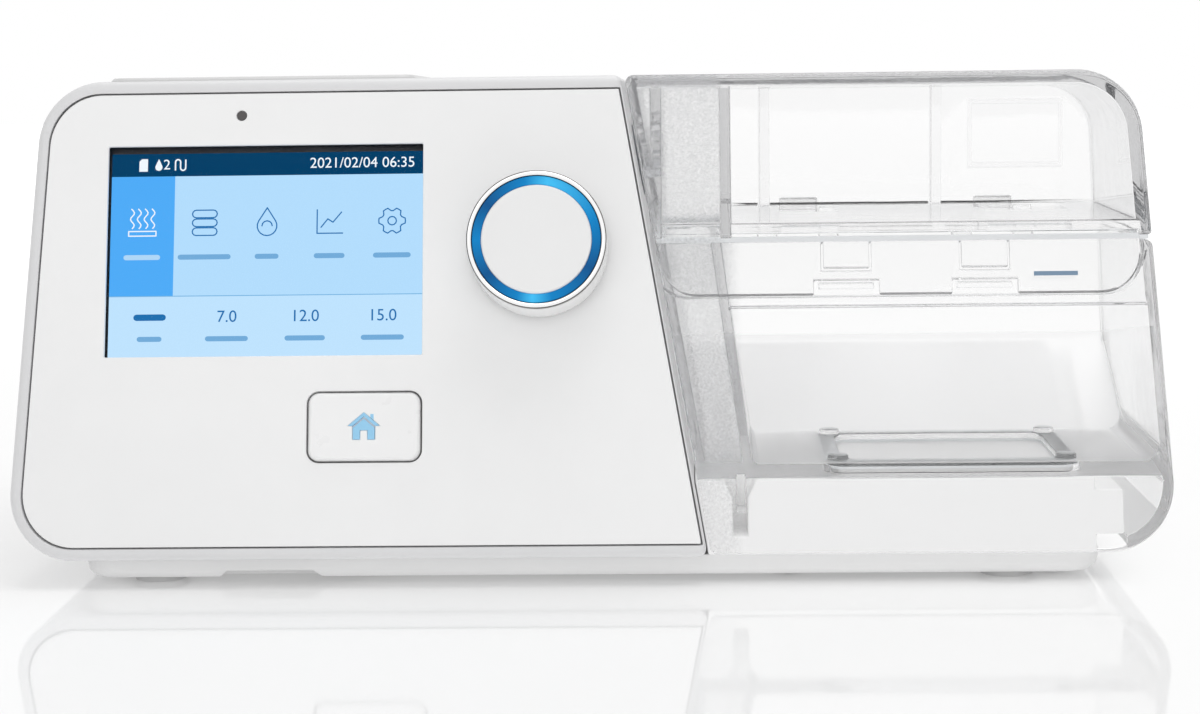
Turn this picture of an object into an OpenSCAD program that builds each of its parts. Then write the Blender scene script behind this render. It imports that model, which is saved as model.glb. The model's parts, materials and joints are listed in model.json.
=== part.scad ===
// Bilevel breathing machine with a lift-out water tank, in millimetres.
// X runs across the front, Y runs from the front to the rear, Z runs up from the table.

/* [Body] */
// Width across the rounded lower corners
body_w = 265; // [255:1:280]
// Depth of the casing at its foot, from front to rear wall
case_d = 140.5; // [138:0.5:150]
// Height of the casing above the base, at its front edge
case_h = 108.1; // [106:0.1:114]
// Lean of the front face back from upright, degrees
face_lean = 16; // [14:0.5:17]
// Inward taper of each side, degrees
side_taper = 3; // [2:0.25:3.5]
// Fall of the top towards the rear, degrees
top_fall = 2; // [1.5:0.25:2.5]
// Radius of the four corners seen from the front
corner_r = 15; // [13.5:0.5:15.5]
// Rounding of the front edges
front_edge_r = 1.6; // [1:0.2:2]
// Rounding of the rear edges
rear_edge_r = 5; // [3:0.5:6]
// Wall of the white mouldings
wall = 2.5; // [2:0.25:2.75]
// Radius of the small corners beside the tank
small_r = 1.8; // [1:0.2:2.2]

/* [Base] */
// Height of the rubber feet under the base
foot_h = 1.4; // [1:0.1:2]
// Radius of a rubber foot
foot_r = 6; // [4:0.5:7]
// Depth of the pocket that holds a foot
foot_pocket = 1; // [0.6:0.1:1.4]
// Height of the base tray
base_h = 5.1; // [4.5:0.1:6]
// How far the ends of the base lie inside the widest part
base_inset = 16; // [15:0.5:18]
// How far the base lies behind the foot of the front face
base_setback = 4.5; // [3:0.5:6]
// Radius of the corners of the base seen from above
base_r = 8; // [6:0.5:10]
// Rounding of the lower edges of the base
base_edge_r = 3; // [1:0.2:3.6]
// Width of the notch in the lower front edge
notch_w = 24; // [16:1:30]
// Middle of the notch from the left side of the casing
notch_inset = 59.5; // [50:0.5:80]
// Height of the notch
notch_h = 1.9; // [1.2:0.1:2.4]

/* [Front panel] */
// Width of the rim round the front panel
rim_w = 3.1; // [2.9:0.1:3.6]
// Width of the rim beside the tank
side_rim_w = 0.9; // [0.8:0.1:1.2]
// Groove between the rim and the panel
groove = 0.35; // [0.2:0.05:0.45]
// Thickness of the front panel
panel_t = 3; // [2.8:0.1:3.2]
// Width of the ledge that the panel rests on
ledge_w = 1.8; // [1.4:0.1:2]
// Thickness of the ledge
ledge_t = 2; // [1.5:0.1:2.5]

/* [Screen] */
// Width of the screen opening
screen_w = 73.5; // [70:0.5:75]
// Height of the screen opening, measured up the slope
screen_h = 49.7; // [46:0.5:51]
// Middle of the screen from the left side of the casing
screen_inset = 57.85; // [56.5:0.1:59.5]
// Middle of the screen up the slope
screen_s = 72.05; // [70:0.5:73]
// Depth of the screen glass below the panel face
glass_depth = 1.2; // [0.8:0.1:1.4]
// Thickness of the screen glass
glass_t = 1.5; // [1.2:0.1:1.6]
// Overlap of the glass behind the edge of the opening
glass_lap = 2; // [1.5:0.1:2.4]
// Thickness of the screen module
screen_t = 3.8; // [3:0.1:4]
// Edge of the screen module round the opening
screen_edge = 5; // [4.5:0.1:5.4]
// Wall of the screen frame
frame_wall = 2; // [1.5:0.1:2.2]
// Height of the posts that carry the main board
board_post = 6; // [5:0.5:8]
// Light sensor from the left side of the casing
sensor_inset = 52.1; // [43:0.1:72]
// Light sensor place up the slope
sensor_s = 104; // [103.7:0.1:104.6]
// Radius of the light sensor lens
sensor_r = 1.15; // [0.9:0.05:1.3]

/* [Knob] */
// Middle of the knob from the left side of the casing
knob_inset = 121.7; // [120.5:0.1:123]
// Middle of the knob up the slope
knob_s = 71.2; // [69:0.1:73]
// Radius of the knob
knob_r = 15.85; // [15:0.05:16.5]
// Height of the knob's white shell above the panel
knob_h = 12.2; // [11:0.1:13]
// Gap under the knob when it is not pressed
knob_lift = 1.3; // [1.2:0.1:1.8]
// Width of the chrome ring
chrome_w = 1.25; // [1:0.05:1.5]
// Height of the chrome ring above the shell
chrome_h = 1.7; // [1.3:0.1:2]
// Width of the blue light ring
light_w = 2; // [1.6:0.1:2.4]
// Height of the blue light ring above the shell
light_h = 1.2; // [0.8:0.1:1.3]
// Height of the white disc above the shell
disc_h = 1.5; // [1.2:0.1:1.8]
// Radius of the encoder shaft
shaft_r = 3; // [2.5:0.1:3.2]
// Clearance of a turning fit
turn_fit = 0.05; // [0.03:0.01:0.08]

/* [Home button] */
// Middle of the button from the left side of the casing
button_inset = 81.5; // [77:0.5:86]
// Middle of the button up the slope
button_s = 30.6; // [28.5:0.1:31.5]
// Width of the button
button_w = 25.7; // [24:0.1:27]
// Height of the button up the slope
button_l = 15.7; // [14.5:0.1:16.5]
// Corner radius of the button
button_r = 2.5; // [1.5:0.1:3]
// Height of the button above the panel
button_proud = 0.8; // [0.5:0.1:1.2]
// Gap round the button
button_gap = 0.4; // [0.3:0.05:0.5]
// Size of the house inlay
house_w = 7.2; // [6:0.1:8]

/* [Tank and lid] */
// Foot of the sloping side beside the tank, from the left side of the casing
divider_inset = 159.7; // [159:0.1:160]
// Lean of that side to the left, degrees
divider_lean = 10.1; // [9.9:0.1:10.3]
// Gap between the casing and the tank
divider_gap = 0.8; // [0.7:0.1:1]
// Depth of the tank at its foot
tank_d = 92; // [90:0.5:94]
// Height of the tank's rim above the base
tank_h = 69.4; // [68:0.1:70.5]
// Gap under the skirt of the tank
skirt_gap = 0.6; // [0.4:0.1:0.8]
// Wall of the tank
tank_wall = 2.2; // [2:0.1:2.4]
// Underside of the tank floor above the base
tank_floor_z = 16.9; // [16.5:0.1:17.5]
// Thickness of the tank floor
tank_floor_t = 3; // [2.8:0.1:3.4]
// Foot of the inner wall, right of the foot of the casing's sloping side
inner_gap = 10.7; // [10.5:0.1:11.1]
// Lean of the inner wall, degrees
inner_lean = 7.8; // [7.5:0.1:8.5]
// Distance from the front foot to where the floor starts to rise
slope_start = 58; // [57:0.5:59]
// Height of the sloping rear part of the floor
slope_h = 20; // [17:0.5:21]
// Gap between the rim of the tank and the lid
lid_gap = 1.1; // [0.8:0.1:1.2]
// Thickness of the lid's top
lid_top_t = 3; // [2.6:0.1:3.2]
// Height of the lid's flap, measured up the front
flap_h = 12.9; // [12:0.1:14]
// Radius of the flap's lower corners
flap_r = 9; // [7:0.5:9.5]
// Clearance between the flap and the tank
flap_fit = 0.35; // [0.3:0.05:0.45]
// Radius of the hinge knuckles
knuckle_r = 2.9; // [2.6:0.1:3]
// Radius of the hinge pins
pin_r = 1.2; // [1:0.05:1.4]
// Distance of the hinge behind the tank
hinge_back = 3.4; // [3.3:0.05:3.6]
// Width of a lid catch
catch_w = 15; // [12:0.5:16]
// Middle of the left lid catch from the middle of the tank
catch_offset = -20.25; // [-23:0.05:-18]
// Distance between the two lid catches
catch_pitch = 31.6; // [26:0.1:34]
// Length of the guide rib below the floor
rib_l = 7.4; // [6:0.1:8.4]
// Thickness of the guide rib
rib_t = 2; // [1.6:0.1:2.4]

/* [Heater] */
// Room between the dock's left wall and the heater plate
heater_left = 20.4; // [18:0.1:22]
// Room between the heater plate and the dock's right wall
heater_right = 7.2; // [7.1:0.1:10]
// Depth of the heater plate
heater_l = 30; // [26:0.5:30]
// Distance of the heater plate's middle behind the front foot
heater_y = 33.5; // [33:0.5:34.5]
// Height of the heater plate above the dock
heater_proud = 0.6; // [0.5:0.05:0.7]
// Thickness of the tank's metal plate
plate_t = 0.8; // [0.6:0.05:0.9]
// How far the metal plate reaches past the heater plate
plate_margin = 7; // [6:0.5:7]
// Thickness of the plate gasket
gasket_t = 0.6; // [0.5:0.05:0.7]
// Clearance between the dock and the skirt
dock_gap = 0.8; // [0.6:0.05:1]

/* [Air path] */
// Outer radius of the air outlet
outlet_r = 11; // [10.5:0.1:11.2]
// Bore radius of the air outlet
outlet_bore = 9; // [8:0.1:9.5]
// Middle of the outlet from the left side of the casing
outlet_inset = 108.5; // [106:0.5:111]
// Height of the outlet's middle
outlet_z = 66; // [60:0.5:70]
// Depth of the dish round the outlet
dish_depth = 14; // [12:0.5:15]
// Radius of the dish round the outlet
dish_r = 22; // [19:0.5:22.5]
// How far the outlet stands out behind the casing
outlet_proud = 4.5; // [3:0.5:6]
// Bore radius of the two side ports
port_bore = 6.5; // [5.5:0.1:6.8]
// Height of the side ports
port_z = 94; // [92:0.5:95.5]
// Place of the supply port behind the front foot
supply_y = 49.5; // [48.5:0.5:50.5]
// Place of the return port behind the front foot
return_y = 73.5; // [72.5:0.5:74]
// Side of the square filter cover
filter_w = 52; // [46:0.5:53]
// Middle of the filter from the left side of the casing
filter_inset = 40.5; // [39:0.5:42]
// Height of the filter's middle
filter_z = 70; // [68:0.5:72]
// Thickness of the filter pad
filter_t = 8; // [6:0.5:8.5]

/* [Blower] */
// Blower middle from the left side of the casing
blower_inset = 68.5; // [67:0.5:70]
// Blower middle in front of the rear wall
blower_back = 53.2; // [52.9:0.1:53.6]
// Start radius of the spiral casing
scroll_r = 30; // [29:0.5:31]
// Growth of the spiral over one turn
scroll_grow = 14; // [12:0.5:14.5]
// Height of the spiral casing
scroll_h = 24; // [22:0.5:26]
// Radius of the impeller
impeller_r = 27; // [24:0.5:27.5]
// Number of impeller blades
blade_count = 11; // [7:1:13]
// Radius of the motor
motor_r = 17; // [14:0.5:18]
// Height of the motor
motor_h = 20; // [16:0.5:24]

/* [Sockets] */
// Height of the power inlet
inlet_z = 22; // [20:0.5:24]
// Power inlet from the left side of the casing
inlet_inset = 32.5; // [29:0.5:36]
// Bore radius of the power inlet
inlet_r = 3.3; // [2.8:0.05:3.5]
// Height of the memory card slot
card_z = 60; // [56:0.5:64]
// Memory card slot behind the front foot
card_y = 95; // [92:0.5:98]

/* [Hidden] */
$fn = 64;

// Height of the thin cones that rounded outer forms are hulled from
slice = 0.02;
// Steps of a rounded edge
edge_steps = 3;
// Clearance between pieces that rest in each other
seat = 0.15;
// Length that makes every cut run past the solid
far = 400;

nose = front_edge_r * (1 - cos(30) + (1 - sin(30)) * tan(face_lean));
front_y = -(case_d + outlet_proud + nose) / 2;
rear_y = front_y + case_d;
case_z = foot_h + base_h;
case_top = case_z + case_h;
left_x = -body_w / 2;
divider_foot = left_x + divider_inset;
inner_foot = divider_foot + inner_gap;
dock_right = body_w / 2 - 17.5;
catch_x = (divider_foot + body_w / 2) / 2 + catch_offset;
notch_x = left_x + notch_inset;
screen_x = left_x + screen_inset;
sensor_x = left_x + sensor_inset;
knob_x = left_x + knob_inset;
button_x = left_x + button_inset;
outlet_x = left_x + outlet_inset;
filter_x = left_x + filter_inset;
inlet_x = left_x + inlet_inset;
half_foot = body_w / 2 - corner_r + corner_r * (1 + sin(side_taper)) / cos(side_taper);
top_front_y = face_y(case_top);
side_step_x = divider_x(case_top) - 0.5;
tank_rear_y = front_y + tank_d;
side_step_y = tank_rear_y + 1.2;
tank_z = case_z + skirt_gap;
tank_top = case_z + tank_h;
lid_z = tank_top + lid_gap;
floor_z = case_z + tank_floor_z;
dock_top = floor_z - 0.4;
heater_top = dock_top + heater_proud;
hinge_y = tank_rear_y + hinge_back;
hinge_z = (tank_top + lid_z) / 2;
ear_gap = 0.3;
ear_w = 5;
hinge_at = [catch_x - 8, catch_x + catch_pitch + 10];
dock_hollow_x1 = inner_foot + 3;
heater_w = dock_right - wall - dock_hollow_x1 - heater_left - heater_right;
heater_x = dock_hollow_x1 + heater_left + heater_w / 2;
pin_l = 4 * ear_w - 2;

// Places on the front face and on the sides
function face_y(z) = front_y + (z - case_z) * tan(face_lean);
function half_w(z) = half_foot - (z - case_z) * tan(side_taper);
function divider_x(z) = divider_foot - (z - case_z) * tan(divider_lean);
function tank_left(z) = divider_x(z) + divider_gap;
function inner_x(z) = inner_foot - (z - floor_z) * tan(inner_lean);
function top_at(y) = case_top - (y - top_front_y) * tan(top_fall);

// Outlines with rounded corners, as a list of corners against the clock
function unit(v) = v / norm(v);
function side_of(p, i) = unit(p[(i + 1) % len(p)] - p[i]);
function inward(v) = [-v.y, v.x];
function line_meet(a, u, b, v) = a + u * cross(b - a, v) / cross(u, v);
function inset(p, d) = [
    for (i = [0 : len(p) - 1])
        let (h = (i + len(p) - 1) % len(p), u = side_of(p, h), v = side_of(p, i))
        line_meet(p[h] + inward(u) * d[h], u, p[i] + inward(v) * d[i], v)
];
function even(p, d) = [for (i = [0 : len(p) - 1]) d];
function half_angle(p, i) =
    let (n = len(p), u = side_of(p, (i + n - 1) % n), v = side_of(p, i)) acos(u * v) / 2;
function touch(p, i, r) =
    let (n = len(p), t = r * tan(half_angle(p, i)))
    [p[i] - side_of(p, (i + n - 1) % n) * t, p[i] + side_of(p, i) * t];
function corner_middle(p, i, r) = touch(p, i, r)[1] + inward(side_of(p, i)) * r;
function fine(r) = r > 5 ? 64 : 24;

module corner_discs(p, r) {
    for (i = [0 : len(p) - 1])
        if (r[i] > 0) translate(corner_middle(p, i, r[i])) circle(r[i], $fn = fine(r[i]));
}

// A corner whose radius is 0 stays sharp
module rounded(p, r) {
    polygon([for (i = [0 : len(p) - 1]) each r[i] > 0 ? touch(p, i, r[i]) : [p[i]]]);
    corner_discs(p, r);
}

module rounded_box(size, r) {
    x = size.x / 2;
    y = size.y / 2;
    rounded([[-x, -y], [x, -y], [x, y], [-x, y]], [r, r, r, r]);
}

// An outline seen from the front, drawn through the body from y1 to y2
module along_y(y1, y2) {
    translate([0, y2, 0]) rotate([90, 0, 0]) linear_extrude(y2 - y1) children();
}

// The frame of the front face: x across, y up the slope, z out of the face
module on_face(x = 0, s = 0, out = 0) {
    translate([0, front_y, case_z]) rotate([90 - face_lean, 0, 0]) translate([x, s, out]) children();
}

// The space between two depths behind the front face
module behind_face(from, to) {
    on_face(-far / 2, -far / 2, -to) cube([far, far, to - from]);
}

// An outline seen from the front, between two depths behind the face
module face_layer(from, to) {
    intersection() {
        along_y(front_y - 60, rear_y + 60) children();
        behind_face(from, to);
    }
}

// Thin cones at the corners of an outline, whose wide ends all lie in one plane
module corner_cones(p, r) {
    for (i = [0 : len(p) - 1])
        translate(corner_middle(p, i, r[i])) cylinder(r1 = r[i], r2 = r[i] * 0.8, h = slice, $fn = fine(r[i]));
}

// The corners of an outline parallel to the front face, and of one that stands upright
module front_corners(depth, p, r) {
    shear = tan(face_lean);
    multmatrix([[1, 0, 0, 0], [0, 1, shear, front_y - case_z * shear + depth],
                [0, 0, 1, 0], [0, 0, 0, 1]])
        rotate([90, 0, 0]) mirror([0, 0, 1]) corner_cones(p, r);
}

module rear_corners(y, p, r) {
    translate([0, y, 0]) rotate([90, 0, 0]) corner_cones(p, r);
}

// A closed form from the leaning front face to an upright rear, with rounded edges
module leaning_form(front, rear, radii, y_rear, r_front, r_rear) {
    hull() {
        for (k = [0 : edge_steps]) {
            a = 90 * k / edge_steps;
            cut_front = r_front * (1 - sin(a));
            cut_rear = r_rear * (1 - sin(a));
            front_corners(r_front * (1 - cos(a)), inset(front, even(front, cut_front)), lesser(radii, cut_front));
            rear_corners(y_rear - r_rear * (1 - cos(a)), inset(rear, even(rear, cut_rear)), lesser(radii, cut_rear));
        }
    }
}

function lesser(radii, d) = [for (r = radii) max(r - d, 0.3)];

// Corner lists of the casing, the tank and the lid, with the height of their top
function case_corners(top) =
    [[-half_w(case_z), case_z], [divider_x(case_z), case_z], [divider_x(top), top], [-half_w(top), top]];
function tank_corners(low, top) =
    [[tank_left(low), low], [half_w(low), low], [half_w(top), top], [tank_left(top), top]];
case_radii = [corner_r, small_r, small_r, corner_r];
tank_radii = [small_r, corner_r, small_r, small_r];
lid_radii = [0.8, 0.8, corner_r, small_r];
panel_inset = [rim_w, side_rim_w, rim_w, rim_w];
panel_radii = lesser(case_radii, rim_w - 0.2);

// Casing

module case_space(d, from_depth, back) {
    front = inset(case_corners(case_top), even(case_radii, d));
    top = top_at(rear_y);
    rear = inset(case_corners(top), even(case_radii, d));
    difference() {
        hull() {
            front_corners(from_depth / cos(face_lean), front, lesser(case_radii, d));
            rear_corners(rear_y - back, rear, lesser(case_radii, d));
        }
        translate([side_step_x - d, side_step_y - d, 0]) cube([far, far, far]);
    }
}

module on_divider(y, z) {
    translate([divider_x(z), y, z]) rotate([0, 90 - divider_lean, 0]) children();
}

module at_ports() {
    for (y = [supply_y, return_y]) on_divider(front_y + y, port_z) children();
}

port_seat_r = port_bore + 2;
port_seat_t = 0.8;
dish_floor = rear_y - dish_depth;
cover_t = 2.6;
filter_depth = filter_t + cover_t + 0.6;
screw_front = 25;
screw_rear = 9.5;
case_screws = [[left_x + 27.5, front_y + screw_front], [left_x + 48.5, rear_y - screw_rear],
               [divider_foot - 31.2, front_y + screw_front], [outlet_x, rear_y - screw_rear]];
screw_r = 1.3;
screw_head_r = 2.8;
screw_head_t = 2;
screw_sink = 0.4;
screw_bite = 5;
screw_boss_r = 3.4;
screw_boss_h = 8;
card_w = 24;
card_t = 2.1;
card_slot = [card_w + 1, card_t + 0.8];
shelf_t = 2;
scoop_r = 4.5;
shelf_l = 34;
card_wall_x = -half_w(card_z);
card_board_t = 1.6;
socket_side = 2;
socket_low = 1.4;
socket_h = 3.6;
board_side = 4;
card_low = card_z - socket_low - card_board_t;

module main_case() {
    color("whitesmoke") difference() {
        union() {
            difference() {
                leaning_form(case_corners(case_top), case_corners(top_at(rear_y)), case_radii,
                             rear_y, front_edge_r, rear_edge_r);
                translate([side_step_x, side_step_y, 0]) cube([far, far, far]);
                case_space(wall, panel_t + ledge_t, wall);
            }
            intersection() {
                union() {
                    translate([outlet_x, dish_floor - wall, outlet_z]) rotate([-90, 0, 0])
                        cylinder(r = dish_r + wall, h = dish_depth + wall - 1);
                    translate([filter_x, 0, filter_z]) along_y(rear_y - filter_depth - wall, rear_y - 1)
                        square(filter_w + 2 * wall, center = true);
                    for (p = case_screws) translate([p.x, p.y, case_z])
                        cylinder(r = screw_boss_r, h = wall + screw_boss_h);
                    translate([card_wall_x, front_y + card_y - card_w / 2 - 5, card_low - shelf_t])
                        cube([shelf_l, card_w + 10, shelf_t]);
                }
                case_space(1, panel_t + 1, 1);
            }
        }
        face_layer(-5, panel_t)
            rounded(inset(case_corners(case_top), panel_inset - even(case_radii, groove)), panel_radii);
        face_layer(0, panel_t + ledge_t + 0.5)
            rounded(inset(case_corners(case_top), panel_inset + even(case_radii, ledge_w)),
                    lesser(panel_radii, ledge_w));
        translate([outlet_x, dish_floor, outlet_z]) rotate([-90, 0, 0]) cylinder(r = dish_r, h = far);
        translate([outlet_x, 0, outlet_z]) rotate([-90, 0, 0]) cylinder(r = outlet_r + outlet_step + seat, h = far);
        translate([filter_x, 0, filter_z]) {
            along_y(rear_y - filter_depth, far) square(filter_w, center = true);
            filter_slots(filter_w - 12, rear_y - filter_depth - wall - 1, rear_y);
        }
        at_ports() {
            translate([0, 0, -port_seat_t]) cylinder(r = port_seat_r + seat, h = far);
            translate([0, 0, -wall - 2]) cylinder(r = port_bore, h = far);
        }
        for (p = case_screws) translate([p.x, p.y, 0]) cylinder(r = screw_r + turn_fit, h = case_z + screw_boss_h);
        top_frame() translate([0, 0, -cover_seat]) linear_extrude(far)
            rounded_box([top_cover_w + 2 * seat, top_cover_l + 2 * seat], top_cover_r);
        translate([card_wall_x - 5, front_y + card_y, card_z]) rotate([90, 0, 90]) linear_extrude(12)
            square(card_slot, center = true);
        translate([card_wall_x - scoop_r + 1.2, front_y + card_y, card_z]) rotate([90, 0, 0])
            cylinder(r = scoop_r, h = 12, center = true);
        translate([inlet_x, rear_y - wall - 1, inlet_z]) along_y(0, far) circle(inlet_collar_r + seat);
        translate([outlet_x, 0, tube_socket_z]) along_y(rear_y - wall - 1, far)
            rounded_box([tube_socket_w + 2 * seat, tube_socket_h + 2 * seat], 2);
    }
}

module filter_slots(w, from, to) {
    bars = 6;
    pitch = w / bars;
    for (k = [0 : bars - 1])
        translate([0, 0, (k - (bars - 1) / 2) * pitch]) along_y(from, to)
            rounded_box([w, pitch - 2.2], 1.2);
}

module panel_outline() {
    rounded(inset(case_corners(case_top), panel_inset), panel_radii);
}

control_depth = 9;
post_r = 2.5;
post_edge = 4.2;
control_left = button_x - 23;
control_right = knob_x + 15.8;
control_low = button_s - 13;
control_top = knob_s + 19.8;
control_step_x = screen_x + screen_w / 2 + screen_edge + frame_wall + 0.9;
control_step_s = button_s + 12.4;
control_posts = [[control_left + post_edge, control_low + post_edge],
                 [control_right - post_edge, control_low + post_edge],
                 [control_right - post_edge, control_top - post_edge],
                 [control_step_x + post_edge, control_top - post_edge]];
bushing_r = 4.5;

module front_panel() {
    color("white") difference() {
        union() {
            face_layer(0, panel_t) panel_outline();
            for (p = control_posts) on_face(p.x, p.y, -control_depth) cylinder(r = post_r, h = control_depth - 1);
        }
        on_face(screen_x, screen_s, -far / 2) linear_extrude(far) square([screen_w, screen_h], center = true);
        on_face(screen_x, screen_s, -far - glass_depth) linear_extrude(far)
            square([screen_w + 2 * glass_lap + 2 * seat, screen_h + 2 * glass_lap + 2 * seat], center = true);
        on_face(sensor_x, sensor_s, -far / 2) cylinder(r = sensor_r + turn_fit, h = far);
        on_face(knob_x, knob_s, -far / 2) cylinder(r = bushing_r + seat, h = far);
        on_face(button_x, button_s, -far / 2) linear_extrude(far)
            rounded_box([button_w + 2 * button_gap, button_l + 2 * button_gap], button_r + button_gap);
        for (p = control_posts) on_face(p.x, p.y, -control_depth - 1) cylinder(r = 1.05, h = 7);
    }
}

// Raised cover on the falling top
top_cover_w = 73.7;
top_cover_l = 62;
top_cover_r = 5;
top_cover_x = left_x + 54.2;
top_cover_y = 44;
cover_seat = 1.4;
cover_raise = 1.1;

module top_frame() {
    translate([top_cover_x, top_front_y + top_cover_y, case_top - top_cover_y * tan(top_fall)])
        rotate([-top_fall, 0, 0]) children();
}

module top_cover() {
    color("gainsboro") top_frame() hull() {
        translate([0, 0, -cover_seat]) linear_extrude(cover_seat + cover_raise - 0.7)
            rounded_box([top_cover_w, top_cover_l], top_cover_r);
        linear_extrude(cover_raise) rounded_box([top_cover_w - 1.4, top_cover_l - 1.4], top_cover_r - 0.7);
    }
}

// Base

base_pocket = 70;
base_left = left_x + base_inset;
base_right = body_w / 2 - base_inset;
base_front = front_y + base_setback;
base_rear = rear_y - base_setback;
dock_rear = tank_rear_y;
feet = [[base_left + 16.5, base_front + 10], [base_right - 20.5, base_front + 10],
        [base_right - 20.5, dock_rear - 13], [base_left + 16.5, base_rear - 12],
        [side_step_x - 14, base_rear - 12]];
dock_screw_edge = 8;
dock_screw_front = front_y + 21.5;
dock_screw_rear = dock_rear - 10.5;
dock_screws = [for (x = [inner_foot + dock_screw_edge, dock_right - dock_screw_edge],
                    y = [dock_screw_front, dock_screw_rear]) [x, y]];

// A block with rounded corners and rounded lower edges, cut back behind the tank
module base_form() {
    x = [base_left + base_r, base_right - base_r];
    difference() {
        hull() for (i = [0, 1], y = [base_front + base_r, base_rear - base_r]) translate([x[i], y, foot_h]) {
            for (k = [0 : edge_steps - 1]) {
                a = 90 * k / edge_steps;
                r = base_r - base_edge_r * (1 - sin(a));
                translate([0, 0, base_edge_r * (1 - cos(a))]) cylinder(r1 = r, r2 = r * 0.8, h = slice);
            }
            translate([0, 0, base_edge_r]) cylinder(r = base_r, h = base_h - base_edge_r);
        }
        translate([side_step_x, dock_rear, 0]) cube([far, far, far]);
        translate([base_right - base_r, dock_rear - base_r, 0]) linear_extrude(far) difference() {
            square(base_r + 1);
            circle(base_r);
        }
    }
}

module base_tray() {
    color("lightgray") difference() {
        base_form();
        for (p = feet) translate([p.x, p.y, 0]) cylinder(r = foot_r + seat, h = foot_h + foot_pocket);
        for (p = concat(case_screws, dock_screws)) translate([p.x, p.y, 0]) {
            cylinder(r = screw_r + 0.3, h = far);
            cylinder(r = screw_head_r + 0.4, h = foot_h + screw_head_t + screw_sink);
        }
        translate([notch_x, base_front, foot_h]) rotate([90, 0, 0]) linear_extrude(12, center = true)
            polygon([[-notch_w / 2, -1], [notch_w / 2, -1], [notch_w / 2, 0],
                     [notch_w / 2 - 2, notch_h], [2 - notch_w / 2, notch_h], [-notch_w / 2, 0]]);
        translate([blower_mid.x, (base_front + base_rear) / 2, foot_h + 3]) linear_extrude(far)
            rounded_box([base_pocket, base_pocket], 6);
    }
}

module rubber_feet() {
    color("dimgray") for (p = feet) translate([p.x, p.y, 0])
        cylinder(r = foot_r, h = foot_h + foot_pocket);
}

module base_screws() {
    color("silver") for (p = concat(case_screws, dock_screws))
        translate([p.x, p.y, foot_h + screw_sink]) difference() {
            union() {
                cylinder(r = screw_head_r, h = screw_head_t);
                cylinder(r = screw_r, h = base_h - screw_sink + screw_bite);
            }
            cylinder(r = screw_r * 0.75, h = screw_head_t * 0.45, $fn = 6);
        }
}

// Screen

module screen_glass() {
    color([0.8, 0.9, 1, 0.4]) on_face(screen_x, screen_s, -glass_depth - glass_t) linear_extrude(glass_t)
        square([screen_w + 2 * glass_lap, screen_h + 2 * glass_lap], center = true);
}

module_front = glass_depth + glass_t + 0.2;
module_back = module_front + screen_t;
module_w = screen_w + 2 * screen_edge;
module_h = screen_h + 2 * screen_edge;
frame_front = panel_t;
frame_back = module_back + 1.5;

module screen_module() {
    color("skyblue") on_face(screen_x, screen_s, -module_back) {
        linear_extrude(module_back - panel_t) square([module_w, module_h], center = true);
        translate([0, 0, 1]) linear_extrude(screen_t - 1)
            square([screen_w + 2 * glass_lap, screen_h + 2 * glass_lap], center = true);
    }
}

board_posts = [for (i = [-1, 1], j = [-1, 1]) [i * (module_w / 2 - 5), j * (module_h / 2 - 5)]];

module screen_frame() {
    color("gray") on_face(screen_x, screen_s) difference() {
        union() {
            translate([0, 0, -frame_back]) linear_extrude(frame_back - frame_front)
                square([module_w + 2 * frame_wall, module_h + 2 * frame_wall], center = true);
            for (p = board_posts) translate([p.x, p.y, -frame_back - board_post])
                cylinder(r = post_r, h = board_post + 0.5);
        }
        translate([0, 0, -module_back]) linear_extrude(far)
            square([module_w + 2 * seat, module_h + 2 * seat], center = true);
        for (p = board_posts) translate([p.x, p.y, -frame_back - board_post - 1]) cylinder(r = 1.05, h = 6);
    }
}

module light_sensor_lens() {
    color("black") on_face(sensor_x, sensor_s, -panel_t) cylinder(r = sensor_r, h = panel_t - 0.3);
}

// Knob and its encoder

module on_knob(out = 0) {
    on_face(knob_x, knob_s, out) children();
}

module knob_shell() {
    color("white") on_knob() difference() {
        rotate_extrude() difference() {
            translate([0, knob_lift]) square([knob_r, knob_h - knob_lift]);
            translate([bushing_r + 1, 0]) square([knob_r - bushing_r - 3, knob_h - 2]);
        }
        cylinder(r = shaft_r + seat / 3, h = knob_h - 2);
    }
}

module knob_chrome_ring() {
    color("silver") on_knob(knob_h) rotate_extrude() translate([knob_r - chrome_w, 0]) union() {
        square([chrome_w, chrome_h - chrome_w / 2]);
        translate([chrome_w / 2, chrome_h - chrome_w / 2]) circle(chrome_w / 2);
    }
}

module knob_light_ring() {
    color("deepskyblue") on_knob(knob_h) rotate_extrude()
        translate([knob_r - chrome_w - light_w, 0]) square([light_w - turn_fit, light_h]);
}

module knob_disc() {
    disc_r = knob_r - chrome_w - light_w - turn_fit;
    edge = 0.6;
    color("white") on_knob(knob_h) rotate_extrude() {
        square([disc_r, disc_h - edge]);
        square([disc_r - edge, disc_h]);
        translate([disc_r - edge, disc_h - edge]) circle(edge);
    }
}

plunger_top = 4.4;
plunger_t = 2;
knob_travel = 0.9;
encoder_w = 13;

module encoder_shaft() {
    color("silver") on_knob(-plunger_top) cylinder(r = shaft_r, h = plunger_top + knob_h - 2.5);
}

module encoder_plunger() {
    color("white") on_knob(-plunger_top - plunger_t) cylinder(r = shaft_r + 0.4, h = plunger_t);
}

module encoder_body() {
    color("dimgray") on_knob() difference() {
        union() {
            translate([0, 0, -control_depth]) linear_extrude(control_depth - panel_t - 0.3)
                square(encoder_w, center = true);
            translate([0, 0, -control_depth]) cylinder(r = bushing_r, h = control_depth - 0.4);
        }
        translate([0, 0, -plunger_top - plunger_t - knob_travel - 0.4])
            cylinder(r = shaft_r + 0.4 + turn_fit, h = plunger_t + knob_travel + 0.8);
        translate([0, 0, -plunger_top]) cylinder(r = shaft_r + turn_fit, h = far);
    }
}

// Home button

module on_button(out = 0) {
    on_face(button_x, button_s, out) children();
}

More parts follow.
